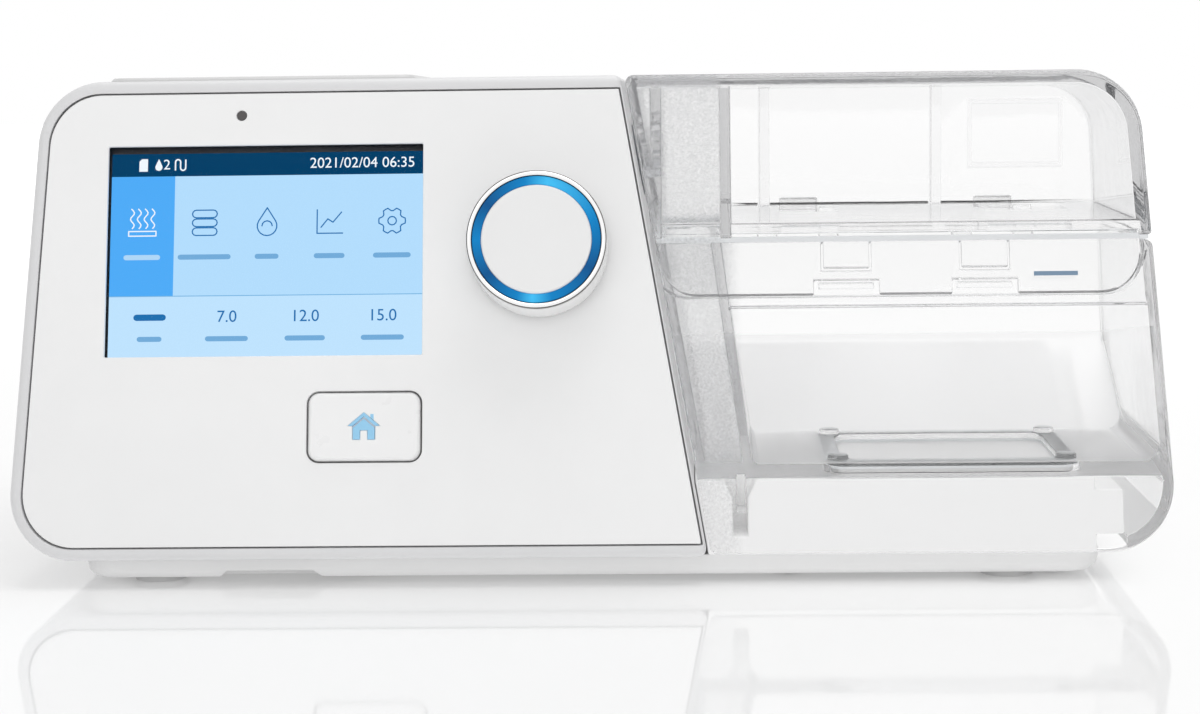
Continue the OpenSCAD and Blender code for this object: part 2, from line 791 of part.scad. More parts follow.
module house(w) {
    eave = w * 0.02;
    polygon([[-w / 2, eave], [0, w * 0.44], [w / 2, eave], [w * 0.36, eave], [w * 0.36, -w * 0.42],
             [w * 0.12, -w * 0.42], [w * 0.12, -w * 0.12], [-w * 0.12, -w * 0.12],
             [-w * 0.12, -w * 0.42], [-w * 0.36, -w * 0.42], [-w * 0.36, eave]]);
}

inlay_t = 0.6;
flange_t = 0.8;
button_travel = 0.6;

module home_button() {
    color("white") difference() {
        union() {
            on_button(-panel_t - 0.1) hull() {
                linear_extrude(panel_t) rounded_box([button_w, button_l], button_r);
                linear_extrude(panel_t + 0.1 + button_proud)
                    rounded_box([button_w - 1.2, button_l - 1.2], button_r - 0.6);
            }
            on_button(-panel_t - 0.1 - flange_t) linear_extrude(flange_t)
                rounded_box([button_w + 2.4, button_l + 2.4], button_r + 1.2);
            on_button(-switch_top + button_travel + 0.05) cylinder(r = 1.5, h = 1);
        }
        on_button(button_proud - inlay_t) linear_extrude(far) house(house_w);
    }
}

module home_inlay() {
    color("lightskyblue") on_button(button_proud - inlay_t) linear_extrude(inlay_t) house(house_w);
}

switch_top = 4.9;
switch_w = 6.2;
switch_t = 3.4;

module home_switch() {
    color("dimgray") on_button() {
        translate([0, 0, -control_depth]) linear_extrude(switch_t) square(switch_w, center = true);
        translate([0, 0, -control_depth]) cylinder(r = 1.7, h = control_depth - switch_top);
    }
}

// Boards

board_t = 1.6;

module control_board() {
    color("darkgreen") on_face(0, 0, -control_depth - board_t) linear_extrude(board_t) difference() {
        polygon([[control_left, control_low], [control_right, control_low], [control_right, control_top],
                 [control_step_x, control_top], [control_step_x, control_step_s], [control_left, control_step_s]]);
        for (p = control_posts) translate(p) circle(1.2);
    }
}

main_board_w = module_w + 2 * frame_wall + 0.5;
main_board_h = module_h + 2 * frame_wall + 0.3;
chip_w = 14;
chip_at = [-20, 8];
relay_size = [9, 12];
relay_at = [12, -10];
can_r = 4;
can_h = 6;
can_at = [30, 14];

module main_board() {
    depth = frame_back + board_post;
    color("darkgreen") on_face(screen_x, screen_s, -depth - board_t) {
        linear_extrude(board_t) difference() {
            square([main_board_w, main_board_h], center = true);
            for (p = board_posts) translate(p) circle(1.2);
        }
        translate([chip_at.x, chip_at.y, -1.2]) linear_extrude(1.3) square(chip_w, center = true);
        translate([relay_at.x, relay_at.y, -1]) linear_extrude(1.1) square(relay_size, center = true);
        translate([can_at.x, can_at.y, -can_h]) cylinder(r = can_r, h = can_h + 0.1);
    }
}

module board_screw() {
    difference() {
        union() {
            cylinder(r = 1, h = board_t + 3);
            translate([0, 0, -1.3]) cylinder(r = 2, h = 1.3);
        }
        translate([0, 0, -1.4]) cylinder(r = 0.7, h = 0.8, $fn = 6);
    }
}

module board_screws() {
    color("silver") {
        for (p = control_posts) on_face(p.x, p.y, -control_depth - board_t) board_screw();
        for (p = board_posts)
            on_face(screen_x + p.x, screen_s + p.y, -frame_back - board_post - board_t) board_screw();
    }
}

// Blower

mount_h = 6;
scroll_z = case_z + wall + mount_h;
scroll_wall = 2;
spout_l = 36;
mount_angles = [100, 200, 330];
mount_ring = scroll_r - 3;
eye_r = 12;
blower_mid = [left_x + blower_inset, rear_y - blower_back];

function scroll_points(r0, grow, steps) =
    [for (k = [0 : steps]) let (a = 270 + 360 * k / steps, r = r0 + grow * k / steps) [r * cos(a), r * sin(a)]];

module scroll(extra) {
    polygon(scroll_points(scroll_r + extra, scroll_grow, 48));
    translate([-1, -scroll_r - scroll_grow - extra])
        square([spout_l + 1, scroll_grow + 2 * extra]);
}

module at_blower(z) {
    translate([blower_mid.x, blower_mid.y, z]) children();
}

module blower_mounts() {
    color("dimgray") for (a = mount_angles)
        at_blower(case_z + wall) rotate(a) translate([mount_ring, 0, 0]) cylinder(r = 4, h = mount_h);
}

module blower_case() {
    color("slategray") at_blower(scroll_z) difference() {
        linear_extrude(scroll_h) scroll(scroll_wall);
        translate([0, 0, scroll_wall]) linear_extrude(far) intersection() {
            scroll(0);
            translate([-far / 2, -far / 2]) square([far / 2 + spout_l - 3, far]);
        }
        translate([0, 0, scroll_wall]) linear_extrude(scroll_h - 2 * scroll_wall)
            translate([0, -scroll_r - scroll_grow]) square([far, scroll_grow]);
        translate([0, 0, -1]) cylinder(r = eye_r, h = far);
    }
}

cover_plate_t = 2.5;

module blower_cover() {
    color("slategray") at_blower(scroll_z + scroll_h) difference() {
        linear_extrude(cover_plate_t) scroll(scroll_wall);
        translate([0, 0, -1]) cylinder(r = blower_shaft_r + 0.4, h = far);
    }
}

blower_shaft_r = 1.5;
impeller_z = scroll_z + scroll_wall + 1.5;
impeller_h = scroll_h - scroll_wall - 4;

module blade() {
    intersection() {
        difference() {
            translate([impeller_r * 0.62, 0]) circle(impeller_r * 0.5);
            translate([impeller_r * 0.62, 0]) circle(impeller_r * 0.5 - 1.2);
        }
        translate([0, 0.2]) square([impeller_r, impeller_r]);
        circle(impeller_r - 0.5);
    }
}

module blower_impeller() {
    color("white") at_blower(impeller_z) difference() {
        union() {
            translate([0, 0, impeller_h - 1.5]) cylinder(r = impeller_r, h = 1.5);
            cylinder(r = 5, h = impeller_h);
            linear_extrude(impeller_h) intersection() {
                for (k = [1 : blade_count]) rotate(360 * k / blade_count) blade();
                difference() {
                    circle(impeller_r - 0.5);
                    circle(eye_r - 2);
                }
            }
        }
        translate([0, 0, -1]) cylinder(r = blower_shaft_r + 0.02, h = far);
    }
}

module blower_shaft() {
    color("silver") at_blower(impeller_z + 1)
        cylinder(r = blower_shaft_r, h = scroll_z + scroll_h + cover_plate_t - impeller_z + 8);
}

module blower_motor() {
    color("gray") at_blower(scroll_z + scroll_h + cover_plate_t) difference() {
        union() {
            cylinder(r = motor_r, h = motor_h - 2);
            cylinder(r = motor_r - 2, h = motor_h);
        }
        translate([0, 0, -1]) cylinder(r = blower_shaft_r + turn_fit, h = 12.5);
    }
}

// Ducts

function port_in(y, back) = [divider_x(port_z) - back * cos(divider_lean), front_y + y,
                             port_z - back * sin(divider_lean)];
supply_run = 27;
return_run = 24;
duct_wall = 1.5;
elbow = 0.4;
supply_bend = port_in(supply_y, supply_run);
return_bend = port_in(return_y, return_run);
spout_mid = [blower_mid.x + spout_l, blower_mid.y - scroll_r - scroll_grow / 2,
             scroll_z + scroll_h / 2];
return_low = [outlet_x, dish_floor - 22, outlet_z];
return_end = [outlet_x, dish_floor - wall - 2, outlet_z];

module pipe(a, b, r) {
    v = b - a;
    translate(a) rotate([0, acos(v.z / norm(v)), atan2(v.y, v.x)]) cylinder(r = r, h = norm(v));
}

module supply_shape(extra, over) {
    low = [supply_bend.x, spout_mid.y, spout_mid.z];
    pipe([spout_mid.x + 5, spout_mid.y, spout_mid.z], low, port_bore + extra);
    translate(low) sphere(port_bore + extra + elbow);
    pipe(low, supply_bend, port_bore + extra);
    translate(supply_bend) sphere(port_bore + extra + elbow);
    pipe(supply_bend, port_in(supply_y, wall - over), port_bore + extra);
}

module supply_duct() {
    flange = 5;
    color("gray") difference() {
        union() {
            supply_shape(duct_wall, 0);
            translate([spout_mid.x, spout_mid.y - scroll_grow / 2 - 2, spout_mid.z - scroll_h / 2 + 0.2])
                cube([flange, scroll_grow + 4, scroll_h - 0.4]);
        }
        supply_shape(0, 1);
        pipe([spout_mid.x - 1, spout_mid.y, spout_mid.z],
             [spout_mid.x + flange + 1, spout_mid.y, spout_mid.z], port_bore);
    }
}

module return_shape(extra, over) {
    pipe(port_in(return_y, wall - over), return_bend, port_bore + extra);
    translate(return_bend) sphere(port_bore + extra + elbow);
    pipe(return_bend, return_low, port_bore + extra);
    translate(return_low) sphere(port_bore + extra + elbow);
    pipe(return_low, return_end + [0, over, 0], port_bore + extra);
}

module return_duct() {
    color("gray") difference() {
        return_shape(duct_wall, 0);
        return_shape(0, 1);
    }
}

module port_gaskets() {
    proud = divider_gap * cos(divider_lean) - 0.28;
    color("dimgray") at_ports() difference() {
        translate([0, 0, -port_seat_t]) cylinder(r = port_seat_r, h = port_seat_t + proud);
        translate([0, 0, -2]) cylinder(r = port_bore, h = 6);
    }
}

outlet_flange_r = 16;
outlet_step = 0.6;

module air_outlet() {
    flange_y = dish_floor - wall - 2;
    tip_y = rear_y + outlet_proud;
    color("gainsboro") translate([outlet_x, 0, outlet_z]) rotate([-90, 0, 0]) difference() {
        union() {
            translate([0, 0, flange_y]) cylinder(r = outlet_flange_r, h = 2);
            translate([0, 0, flange_y]) cylinder(r = outlet_r + outlet_step, h = dish_floor - flange_y);
            translate([0, 0, flange_y]) cylinder(r = outlet_r, h = tip_y - flange_y);
        }
        translate([0, 0, flange_y - 1]) cylinder(r = outlet_bore, h = far);
    }
}

// Filter

module air_filter() {
    color("lightsteelblue") translate([filter_x, 0, filter_z])
        along_y(rear_y - filter_depth + 0.3, rear_y - filter_depth + 0.3 + filter_t)
        square(filter_w - 1, center = true);
}

module filter_cover() {
    color("whitesmoke") translate([filter_x, 0, filter_z]) difference() {
        along_y(rear_y - cover_t, rear_y) square(filter_w - 2 * seat, center = true);
        filter_slots(filter_w - 12, rear_y - cover_t - 1, rear_y + 1);
        translate([0, rear_y, filter_w / 2 - 1.5]) rotate([0, 90, 0]) cylinder(r = 1.6, h = 12, center = true);
    }
}

// Memory card

card_l = 32;
card_out = 1.5;

module memory_card() {
    x = card_wall_x - card_out;
    color("royalblue") translate([x, front_y + card_y - card_w / 2, card_z - card_t / 2])
        difference() {
            cube([card_l, card_w, card_t]);
            translate([card_l, 0, -1]) rotate(45) cube([6, 6, 5], center = true);
        }
}

module card_socket() {
    reach = card_l - card_out - wall - 0.6 + seat;
    color("silver") translate([card_wall_x + wall + 0.6, front_y + card_y, card_z]) difference() {
        translate([0, -card_w / 2 - socket_side, -socket_low])
            cube([card_l - 2, card_w + 2 * socket_side, socket_h]);
        translate([-1, -card_w / 2 - seat, -card_t / 2 - 0.1]) cube([reach + 1, card_w + 2 * seat, card_t + 0.2]);
    }
}

module card_board() {
    color("darkgreen") translate([card_wall_x + wall + 0.4, front_y + card_y - card_w / 2 - board_side, card_low])
        cube([card_l - 3, card_w + 2 * board_side, card_board_t]);
}

// Sockets on the rear wall

inlet_collar_r = 5;
tube_socket_w = 15;
tube_socket_h = 9;
tube_socket_z = 32;

module power_inlet() {
    color("black") translate([inlet_x, rear_y, inlet_z]) rotate([90, 0, 0]) difference() {
        union() {
            cylinder(r = inlet_collar_r, h = 10);
            translate([0, 0, wall]) linear_extrude(12) square([14, 12], center = true);
        }
        translate([0, 0, -1]) difference() {
            cylinder(r = inlet_r, h = 11);
            cylinder(r = 1.1, h = 12);
        }
    }
}

module tube_heater_socket() {
    color("dimgray") translate([outlet_x, rear_y, tube_socket_z]) rotate([90, 0, 0]) difference() {
        union() {
            linear_extrude(9) rounded_box([tube_socket_w, tube_socket_h], 1.8);
            translate([0, 0, wall]) linear_extrude(8) square([tube_socket_w + 4, tube_socket_h + 4], center = true);
        }
        translate([0, 0, -1]) linear_extrude(7) difference() {
            rounded_box([tube_socket_w - 3, tube_socket_h - 3], 1);
            for (k = [-1 : 1]) translate([k * 3.6, 0]) circle(0.7);
        }
    }
}

// Heater dock

shoulder_w = 6.3;
shoulder_top = dock_top - 2.7;
shoulder_low = tank_z + 3.4;
slot_x = [inner_foot - 4.9, inner_foot - 1.5];
slot_depth = 14;
slot_low = case_z + 4;
slot_mouth = 2.4;
dock_front_depth = tank_wall + 0.2 + dock_gap;
slope_end_z = floor_z + slope_h;
slope_start_y = front_y + slope_start;

// A shape seen from the side, drawn across the body from x1 to x2
module side_profile(p, x1, x2) {
    translate([x1, 0, 0]) rotate([90, 0, 90]) linear_extrude(x2 - x1) polygon(p);
}

// A block under the tank, with a top that follows the floor of the tank
module dock_block(x1, x2, low, top, rear) {
    side_profile([[front_y - 5, low], [rear, low], [rear, top + slope_h], [slope_start_y, top],
                  [front_y - 5, top]], x1, x2);
}

heater_r = 4;
dock_boss_r = 3.4;
dock_boss_h = 8;
heater_flange = 1.5;
heater_flange_t = 1.2;
film_t = 0.6;
film_edge = 2;
bracket_t = 1.5;
bracket_l = 14;
bracket_screw_r = 1.9;
heater_drop = wall + heater_flange_t + film_t;
bracket_hole = heater_w / 2 + heater_flange + 3.5;

module at_bracket_holes(z) {
    for (i = [-1, 1]) at_heater(z) translate([i * bracket_hole, 0, 0]) children();
}

module heater_dock() {
    color("white") difference() {
        union() {
            difference() {
                intersection() {
                    union() {
                        dock_block(divider_x(case_z) - 8, dock_right, case_z, dock_top, dock_rear);
                        dock_block(dock_right - 1, dock_right + shoulder_w, shoulder_low, shoulder_top, dock_rear);
                    }
                    behind_face(dock_front_depth, far);
                    along_y(-far, far) polygon([[divider_x(0) + seat, 0], [far, 0], [far, far],
                                                [divider_x(far) + seat, far]]);
                }
                intersection() {
                    dock_block(dock_hollow_x1, dock_right - wall, 0, dock_top - wall, dock_rear - wall);
                    behind_face(dock_front_depth + wall, far);
                }
            }
            for (p = dock_screws) translate([p.x, p.y, case_z]) cylinder(r = dock_boss_r, h = dock_boss_h);
            for (p = dock_screws) translate([p.x - 1, p.y, case_z]) cube([2, dock_rear - 1 - p.y, dock_boss_h]);
            at_bracket_holes(dock_top - heater_drop) cylinder(r = 2.4, h = heater_drop - 1);
        }
        for (p = dock_screws) translate([p.x, p.y, 0]) cylinder(r = screw_r + turn_fit, h = case_z + dock_boss_h - 1);
        at_bracket_holes(dock_top - heater_drop - 1) cylinder(r = 1.05, h = 4.5);
        at_heater(0) linear_extrude(far) rounded_box([heater_w + 0.8, heater_l + 0.8], heater_r + 0.4);
        along_y(front_y - 5, front_y + slot_depth)
            polygon([[slot_x[0], slot_low], [slot_x[1], slot_low], [slot_x[1], dock_top - 4],
                     [slot_x[1] + slot_mouth, dock_top + 1], [slot_x[0] - slot_mouth, dock_top + 1],
                     [slot_x[0], dock_top - 4]]);
    }
}

module at_heater(z) {
    translate([heater_x, front_y + heater_y, z]) children();
}

module heater_plate() {
    color("silver") at_heater(dock_top - wall - heater_flange_t) {
        linear_extrude(heater_flange_t)
            rounded_box([heater_w + 2 * heater_flange, heater_l + 2 * heater_flange], heater_r + 1);
        linear_extrude(heater_flange_t + wall + heater_proud) rounded_box([heater_w, heater_l], heater_r);
    }
}

module heater_film() {
    color("orange") at_heater(dock_top - heater_drop) linear_extrude(film_t)
        rounded_box([heater_w - 2 * film_edge, heater_l - 2 * film_edge], heater_r - 1);
}

module heater_bracket() {
    color("silver") {
        at_heater(dock_top - heater_drop - bracket_t) linear_extrude(bracket_t)
            rounded_box([2 * bracket_hole + 2 * bracket_screw_r, bracket_l], bracket_screw_r - 0.1);
        at_bracket_holes(dock_top - heater_drop - bracket_t - 1.3) {
            cylinder(r = bracket_screw_r, h = 1.3);
            cylinder(r = 1, h = bracket_t + 4);
        }
    }
}

// Tank

plate_w = heater_w + 2 * plate_margin;
plate_l = heater_l + 2 * plate_margin;
plate_r = 4.8;
gasket_w = 4;
hole_r = 4;
hole_w = plate_w - 2 * gasket_w;
hole_l = plate_l - 2 * gasket_w;
stud_r = 2.4;
stud_edge = 3;
stud_h = 1.2;
tank_floor_top = floor_z + tank_floor_t;
flap_z = lid_z - (flap_h + 0.5) * cos(face_lean);
front_wall_low = tank_wall + 0.2;
skirt_x = dock_right + shoulder_w + 0.6;
front_wall_high = tank_wall + 2 * flap_fit + 2;

module flap_outline(extra) {
    low = flap_z - extra;
    high = lid_z + 5;
    rounded([[tank_left(low) + 0.3 - extra * 6, low], [half_w(low) - rim_w + extra, low],
             [half_w(high) - rim_w + extra, high], [tank_left(high) + 0.3 - extra * 6, high]],
            [flap_r, flap_r, 0.3, 0.3]);
}

// Water space of the tank between two depths behind the face
module tank_space(x_left, depth, low, high) {
    outline = [[x_left ? inner_x(low) : tank_left(low) + tank_wall, low], [half_w(low) - tank_wall, low],
               [half_w(high) - tank_wall, high], [x_left ? inner_x(high) : tank_left(high) + tank_wall, high]];
    intersection() {
        along_y(-far, tank_rear_y - tank_wall)
            rounded(outline, [2, 4, 0.5, 0.5]);
        behind_face(depth, far);
        side_profile([[-far, low - 1], [slope_start_y, low], [slope_start_y, tank_floor_top],
                      [tank_rear_y - tank_wall, slope_end_z + tank_floor_t], [far, slope_end_z + tank_floor_t],
                      [far, far], [-far, far]], -far, far);
    }
}

module side_pocket(depth) {
    low = tank_floor_top;
    high = case_top;
    gap = rib_t;
    intersection() {
        along_y(-far, tank_rear_y - tank_wall)
            polygon([[tank_left(low) + tank_wall, low], [inner_x(low) - gap, low],
                     [inner_x(high) - gap, high], [tank_left(high) + tank_wall, high]]);
        behind_face(depth, far);
        side_profile([[-far, low - 1], [slope_start_y, low - 1], [slope_start_y, low],
                      [tank_rear_y - tank_wall, slope_end_z + tank_floor_t], [far, slope_end_z + tank_floor_t],
                      [far, far], [-far, far]], -far, far);
    }
}

// Space under the floor, inside the skirt and open to the left and below
module under_floor() {
    intersection() {
        along_y(-far, far) polygon([[-40, -20], [skirt_x, -20], [skirt_x, tank_z + corner_r],
            [half_w(tank_z + corner_r) - tank_wall, tank_z + corner_r],
            [half_w(case_top) - tank_wall, case_top], [-40, case_top]]);
        behind_face(front_wall_low, far);
        side_profile([[-far, -20], [far, -20], [far, slope_end_z], [tank_rear_y, slope_end_z],
                      [slope_start_y, floor_z], [-far, floor_z]], -far, far);
    }
    intersection() {
        along_y(-far, far) rounded(inset(tank_corners(tank_z, tank_z + 2 * corner_r), [tank_wall, tank_wall, 0, 0]),
                                   lesser(tank_radii, tank_wall));
        behind_face(front_wall_low, far);
        translate([skirt_x - 1, -far / 2, 0]) cube([far, far, tank_z + corner_r + 1]);
        translate([-far / 2, -far / 2, 0]) cube([far, far, floor_z]);
    }
}

module knuckle(x, w, r) {
    translate([x - w / 2, hinge_y, hinge_z]) rotate([0, 90, 0]) cylinder(r = r, h = w);
}

ear_offset = 1.5 * ear_w + ear_gap;

module tank_ear(x) {
    knuckle(x, ear_w, knuckle_r);
    side_profile([[tank_rear_y - 1, tank_top - 0.5], [hinge_y, hinge_z - 0.2], [hinge_y + knuckle_r * 0.7, hinge_z - 2],
                  [tank_rear_y - 1, hinge_z - knuckle_r - 5]], x - ear_w / 2, x + ear_w / 2);
}

function lug_places() = [catch_x, catch_x + catch_pitch];

module tank_shell() {
    color([0.85, 0.9, 0.93, 0.5]) difference() {
        union() {
            difference() {
                leaning_form(tank_corners(tank_z, tank_top), tank_corners(tank_z, tank_top), tank_radii,
                             tank_rear_y, 1.2, 2);
                face_layer(-5, tank_wall + flap_fit) flap_outline(flap_fit);
                tank_space(true, front_wall_low, tank_floor_top, flap_z - 3);
                tank_space(true, front_wall_high, tank_floor_top, case_top);
                side_pocket(front_wall_high);
                under_floor();
            }
            intersection() {
                translate([inner_foot - 4, front_y, floor_z - rib_l]) cube([rib_t, slot_depth - 2, rib_l + 0.5]);
                behind_face(front_wall_low - 0.5, far);
            }
            for (x = lug_places()) face_layer(tank_wall * 0.45, tank_wall + flap_fit + 1)
                translate([x - catch_w / 2 + 1.2, flap_z + 1.3]) square([catch_w - 2.4, 1.3]);
            for (c = hinge_at, i = [-1, 1]) tank_ear(c + i * ear_offset);
            for (i = [-1, 1], j = [-1, 1])
                at_heater(tank_floor_top - 0.5)
                    translate([i * (plate_w / 2 - stud_edge), j * (plate_l / 2 - stud_edge), 0])
                    cylinder(r = stud_r, h = stud_h + 0.5);
        }
        at_heater(floor_z - 1) linear_extrude(plate_t + gasket_t + 1.2)
            rounded_box([plate_w + 2 * seat, plate_l + 2 * seat], plate_r + seat);
        at_heater(floor_z - 1) linear_extrude(tank_floor_t + slope_h) rounded_box([hole_w, hole_l], hole_r);
        for (c = hinge_at) knuckle(c, pin_l + 0.6, pin_r + turn_fit);
    }
}

module tank_plate() {
    color("silver") at_heater(heater_top) linear_extrude(plate_t) rounded_box([plate_w, plate_l], plate_r);
}

module tank_gasket() {
    color("dimgray") at_heater(heater_top + plate_t) linear_extrude(gasket_t) difference() {
        rounded_box([plate_w, plate_l], plate_r);
        rounded_box([hole_w, hole_l], hole_r);
    }
}

// Lid

lid_floor_t = 2;
lid_floor_z = lid_z + 1.2;
lid_rebate = 0.9;
duct_wall_x = [divider_foot - 12.2, divider_foot + 3.8];
duct_wall_t = 2.2;
lid_rib_t = 2.5;
lid_rib_x = [divider_foot + 14.3, half_w(lid_z) - 44.6];
lid_rib_l = [10, 7];
lid_frame = [24, 17];
lid_frame_x = half_w(lid_z) - 35;
lid_frame_z = lid_z + 12;
air_hole_l = 24;
air_hole_back = 19.3;
air_hole_w = [14, 20];
air_hole_x = [divider_foot + 18.8, half_w(lid_z) - 33.6];

module lid_space(extra, low, high) {
    p = tank_corners(low, case_top);
    w = tank_wall - extra;
    intersection() {
        hull() {
            front_corners((tank_wall - extra) / cos(face_lean), inset(p, [0, w + 1, lid_top_t, w]),
                          lesser(lid_radii, 3));
            rear_corners(tank_rear_y - w, inset(tank_corners(low, top_at(tank_rear_y)), [0, w + 1, lid_top_t, w]),
                         lesser(lid_radii, 3));
        }
        translate([-far / 2, -far / 2, low - 1]) cube([far, far, high - low + 1]);
    }
}

module lid_ear(x) {
    knuckle(x, 2 * ear_w - 2 * ear_gap, knuckle_r);
    side_profile([[tank_rear_y - 1, hinge_z + 0.6], [hinge_y, hinge_z + 0.3], [hinge_y + knuckle_r * 0.6, hinge_z + 2.2],
                  [tank_rear_y - 1, hinge_z + knuckle_r + 3]], x - ear_w + ear_gap, x + ear_w - ear_gap);
}

module catch_cut(x) {
    tongue_w = catch_w - 3.5;
    tongue_h = 6.2;
    slit = 0.5;
    low = flap_z + 5.4;
    face_layer(-5, tank_wall + 0.5) {
        translate([x - catch_w / 2, flap_z - 2]) square([catch_w, 5.2]);
        translate([x - tongue_w / 2, low]) difference() {
            square([tongue_w, tongue_h]);
            translate([slit, slit]) square([tongue_w - 2 * slit, tongue_h]);
        }
    }
}

module lid_shell() {
    color([0.8, 0.85, 0.88, 0.5]) difference() {
        union() {
            difference() {
                leaning_form(tank_corners(lid_z, case_top), tank_corners(lid_z, top_at(tank_rear_y)), lid_radii,
                             tank_rear_y, 1.2, 2);
                lid_space(0, lid_z, case_top);
                lid_space(lid_rebate, lid_z, lid_floor_z + lid_floor_t);
            }
            intersection() {
                union() {
                    for (x = duct_wall_x) translate([x, -far / 2, lid_z]) cube([duct_wall_t, far, far]);
                    for (k = [0, 1])
                        translate([lid_rib_x[k], tank_rear_y - lid_rib_l[k], lid_floor_z + lid_floor_t + seat])
                            cube([lid_rib_t, lid_rib_l[k], far]);
                    along_y(tank_rear_y - tank_wall - 1, tank_rear_y - 1) translate([lid_frame_x, lid_frame_z])
                        difference() {
                            square(lid_frame);
                            translate([1, 1]) square(lid_frame - [2, 2]);
                        }
                }
                lid_space(1, lid_z, case_top);
            }
            face_layer(0, tank_wall) intersection() {
                flap_outline(0);
                translate([-far / 2, 0]) square([far, lid_z + 1]);
            }
            for (c = hinge_at) lid_ear(c);
        }
        at_ports() cylinder(r = port_bore, h = 16);
        for (x = lug_places()) catch_cut(x);
        for (c = hinge_at) knuckle(c, pin_l, pin_r + turn_fit);
    }
}

module lid_floor() {
    left = duct_wall_x[1] + duct_wall_t + seat;
    color([0.8, 0.85, 0.88, 0.5]) difference() {
        intersection() {
            lid_space(lid_rebate - seat, lid_z, lid_floor_z + lid_floor_t);
            translate([left, -far / 2, lid_floor_z]) cube([far, far, lid_floor_t]);
        }
        for (k = [0, 1]) translate([air_hole_x[k], tank_rear_y - air_hole_back - air_hole_l / 2, 0])
            cube([air_hole_w[k], air_hole_l, far]);
    }
}

module lid_seal() {
    low = tank_corners(tank_top, case_top);
    color("lightgray") intersection() {
        difference() {
            along_y(-far, tank_rear_y - 0.5) polygon([[tank_left(lid_z) + 0.4, tank_top], [half_w(lid_z) - 0.5, tank_top],
                [half_w(lid_z) - 0.5, lid_z], [tank_left(lid_z) + 0.4, lid_z]]);
            intersection() {
                along_y(-far, tank_rear_y - 2) polygon([[low[0].x + 1.8, 0], [half_w(lid_z) - 2.1, 0],
                    [half_w(lid_z) - 2.1, far], [low[0].x + 1.8, far]]);
                behind_face(tank_wall + flap_fit + 1.7, far);
            }
        }
        behind_face(tank_wall + flap_fit + 0.2, far);
    }
}

module hinge_pins() {
    color("silver") for (c = hinge_at) knuckle(c, pin_l, pin_r);
}

base_tray();
rubber_feet();
base_screws();
main_case();
front_panel();
top_cover();
screen_glass();
screen_module();
screen_frame();
light_sensor_lens();
knob_shell();
knob_chrome_ring();
knob_light_ring();
knob_disc();
encoder_shaft();
encoder_plunger();
encoder_body();
home_button();
home_inlay();
home_switch();
control_board();
main_board();
board_screws();
blower_mounts();
blower_case();
blower_cover();
blower_impeller();
blower_shaft();
blower_motor();
supply_duct();
return_duct();
port_gaskets();
air_outlet();
air_filter();
filter_cover();
memory_card();
card_socket();
card_board();
power_inlet();
tube_heater_socket();
heater_dock();
heater_plate();
heater_film();
heater_bracket();
tank_shell();
tank_plate();
tank_gasket();
lid_shell();
lid_floor();
lid_seal();
hinge_pins();
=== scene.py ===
"""Dresses the CAD model of a bilevel breathing machine: materials, screen picture, light and floor."""

import json
import math

import bmesh
import bpy
from mathutils import Matrix, Vector

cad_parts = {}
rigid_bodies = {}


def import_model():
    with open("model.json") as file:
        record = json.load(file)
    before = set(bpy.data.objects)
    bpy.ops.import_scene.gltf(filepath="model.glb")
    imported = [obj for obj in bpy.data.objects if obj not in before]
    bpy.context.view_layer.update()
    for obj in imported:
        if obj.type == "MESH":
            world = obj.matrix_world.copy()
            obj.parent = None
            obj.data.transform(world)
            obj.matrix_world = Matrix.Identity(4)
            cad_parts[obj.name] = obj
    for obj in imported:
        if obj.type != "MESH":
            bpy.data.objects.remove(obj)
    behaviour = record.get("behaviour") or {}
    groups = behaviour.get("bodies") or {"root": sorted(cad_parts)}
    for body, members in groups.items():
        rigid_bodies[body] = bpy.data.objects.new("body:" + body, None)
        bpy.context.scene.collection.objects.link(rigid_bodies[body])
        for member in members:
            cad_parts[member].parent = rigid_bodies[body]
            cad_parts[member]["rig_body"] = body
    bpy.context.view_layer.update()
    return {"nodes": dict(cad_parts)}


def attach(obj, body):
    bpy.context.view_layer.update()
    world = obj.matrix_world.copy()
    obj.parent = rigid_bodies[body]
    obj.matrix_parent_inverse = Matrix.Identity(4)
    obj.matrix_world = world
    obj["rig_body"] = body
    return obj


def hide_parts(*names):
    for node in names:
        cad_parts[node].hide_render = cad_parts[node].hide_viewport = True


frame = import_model()
nodes = frame["nodes"]

# Real sizes and places, in metres, as the CAD has them
MM = 0.001
LEAN = math.radians(16)
CASE_LOW = 6.5 * MM
FRONT_FOOT = -72.722 * MM
SCREEN_X = -74.65 * MM
SCREEN_S = 72.05 * MM
SCREEN_W = 73.5 * MM
SCREEN_H = 49.7 * MM
PICTURE_DEPTH = 2.9 * MM
KNOB_X = -10.8 * MM
KNOB_S = 71.2 * MM
HOME_X = -51.0 * MM
HOME_S = 30.6 * MM
KEY_PROUD = 0.8 * MM
INLAY = 0.6 * MM
MARK_X = 107.3 * MM
MARK_S = 64.6 * MM

UP_SLOPE = Vector((0, math.sin(LEAN), math.cos(LEAN)))
OUT = Vector((0, -math.cos(LEAN), math.sin(LEAN)))


def face_point(x, s, out=0.0):
    """A point by its place across the front, up its slope and out of it."""
    return Vector((x, FRONT_FOOT, CASE_LOW)) + UP_SLOPE * s + OUT * out


def face_matrix(x, s, out=0.0):
    """The frame of the leaning front: x across, y up the slope, z out of it."""
    turn = Matrix((Vector((1, 0, 0)), UP_SLOPE, OUT)).transposed().to_4x4()
    return Matrix.Translation(face_point(x, s, out)) @ turn


# Helpers for materials

SOFT_EDGE = 1.5 * MM
LEVEL_FROM = 0.5
WHITE = (1.0, 1.0, 1.0, 1.0)


def srgb(r, g, b):
    """A colour as a picture shows it, 0 to 255, in linear light."""
    out = []
    for v in (r, g, b):
        v = v / 255
        out.append(v / 12.92 if v <= 0.04045 else ((v + 0.055) / 1.055) ** 2.4)
    return (*out, 1.0)


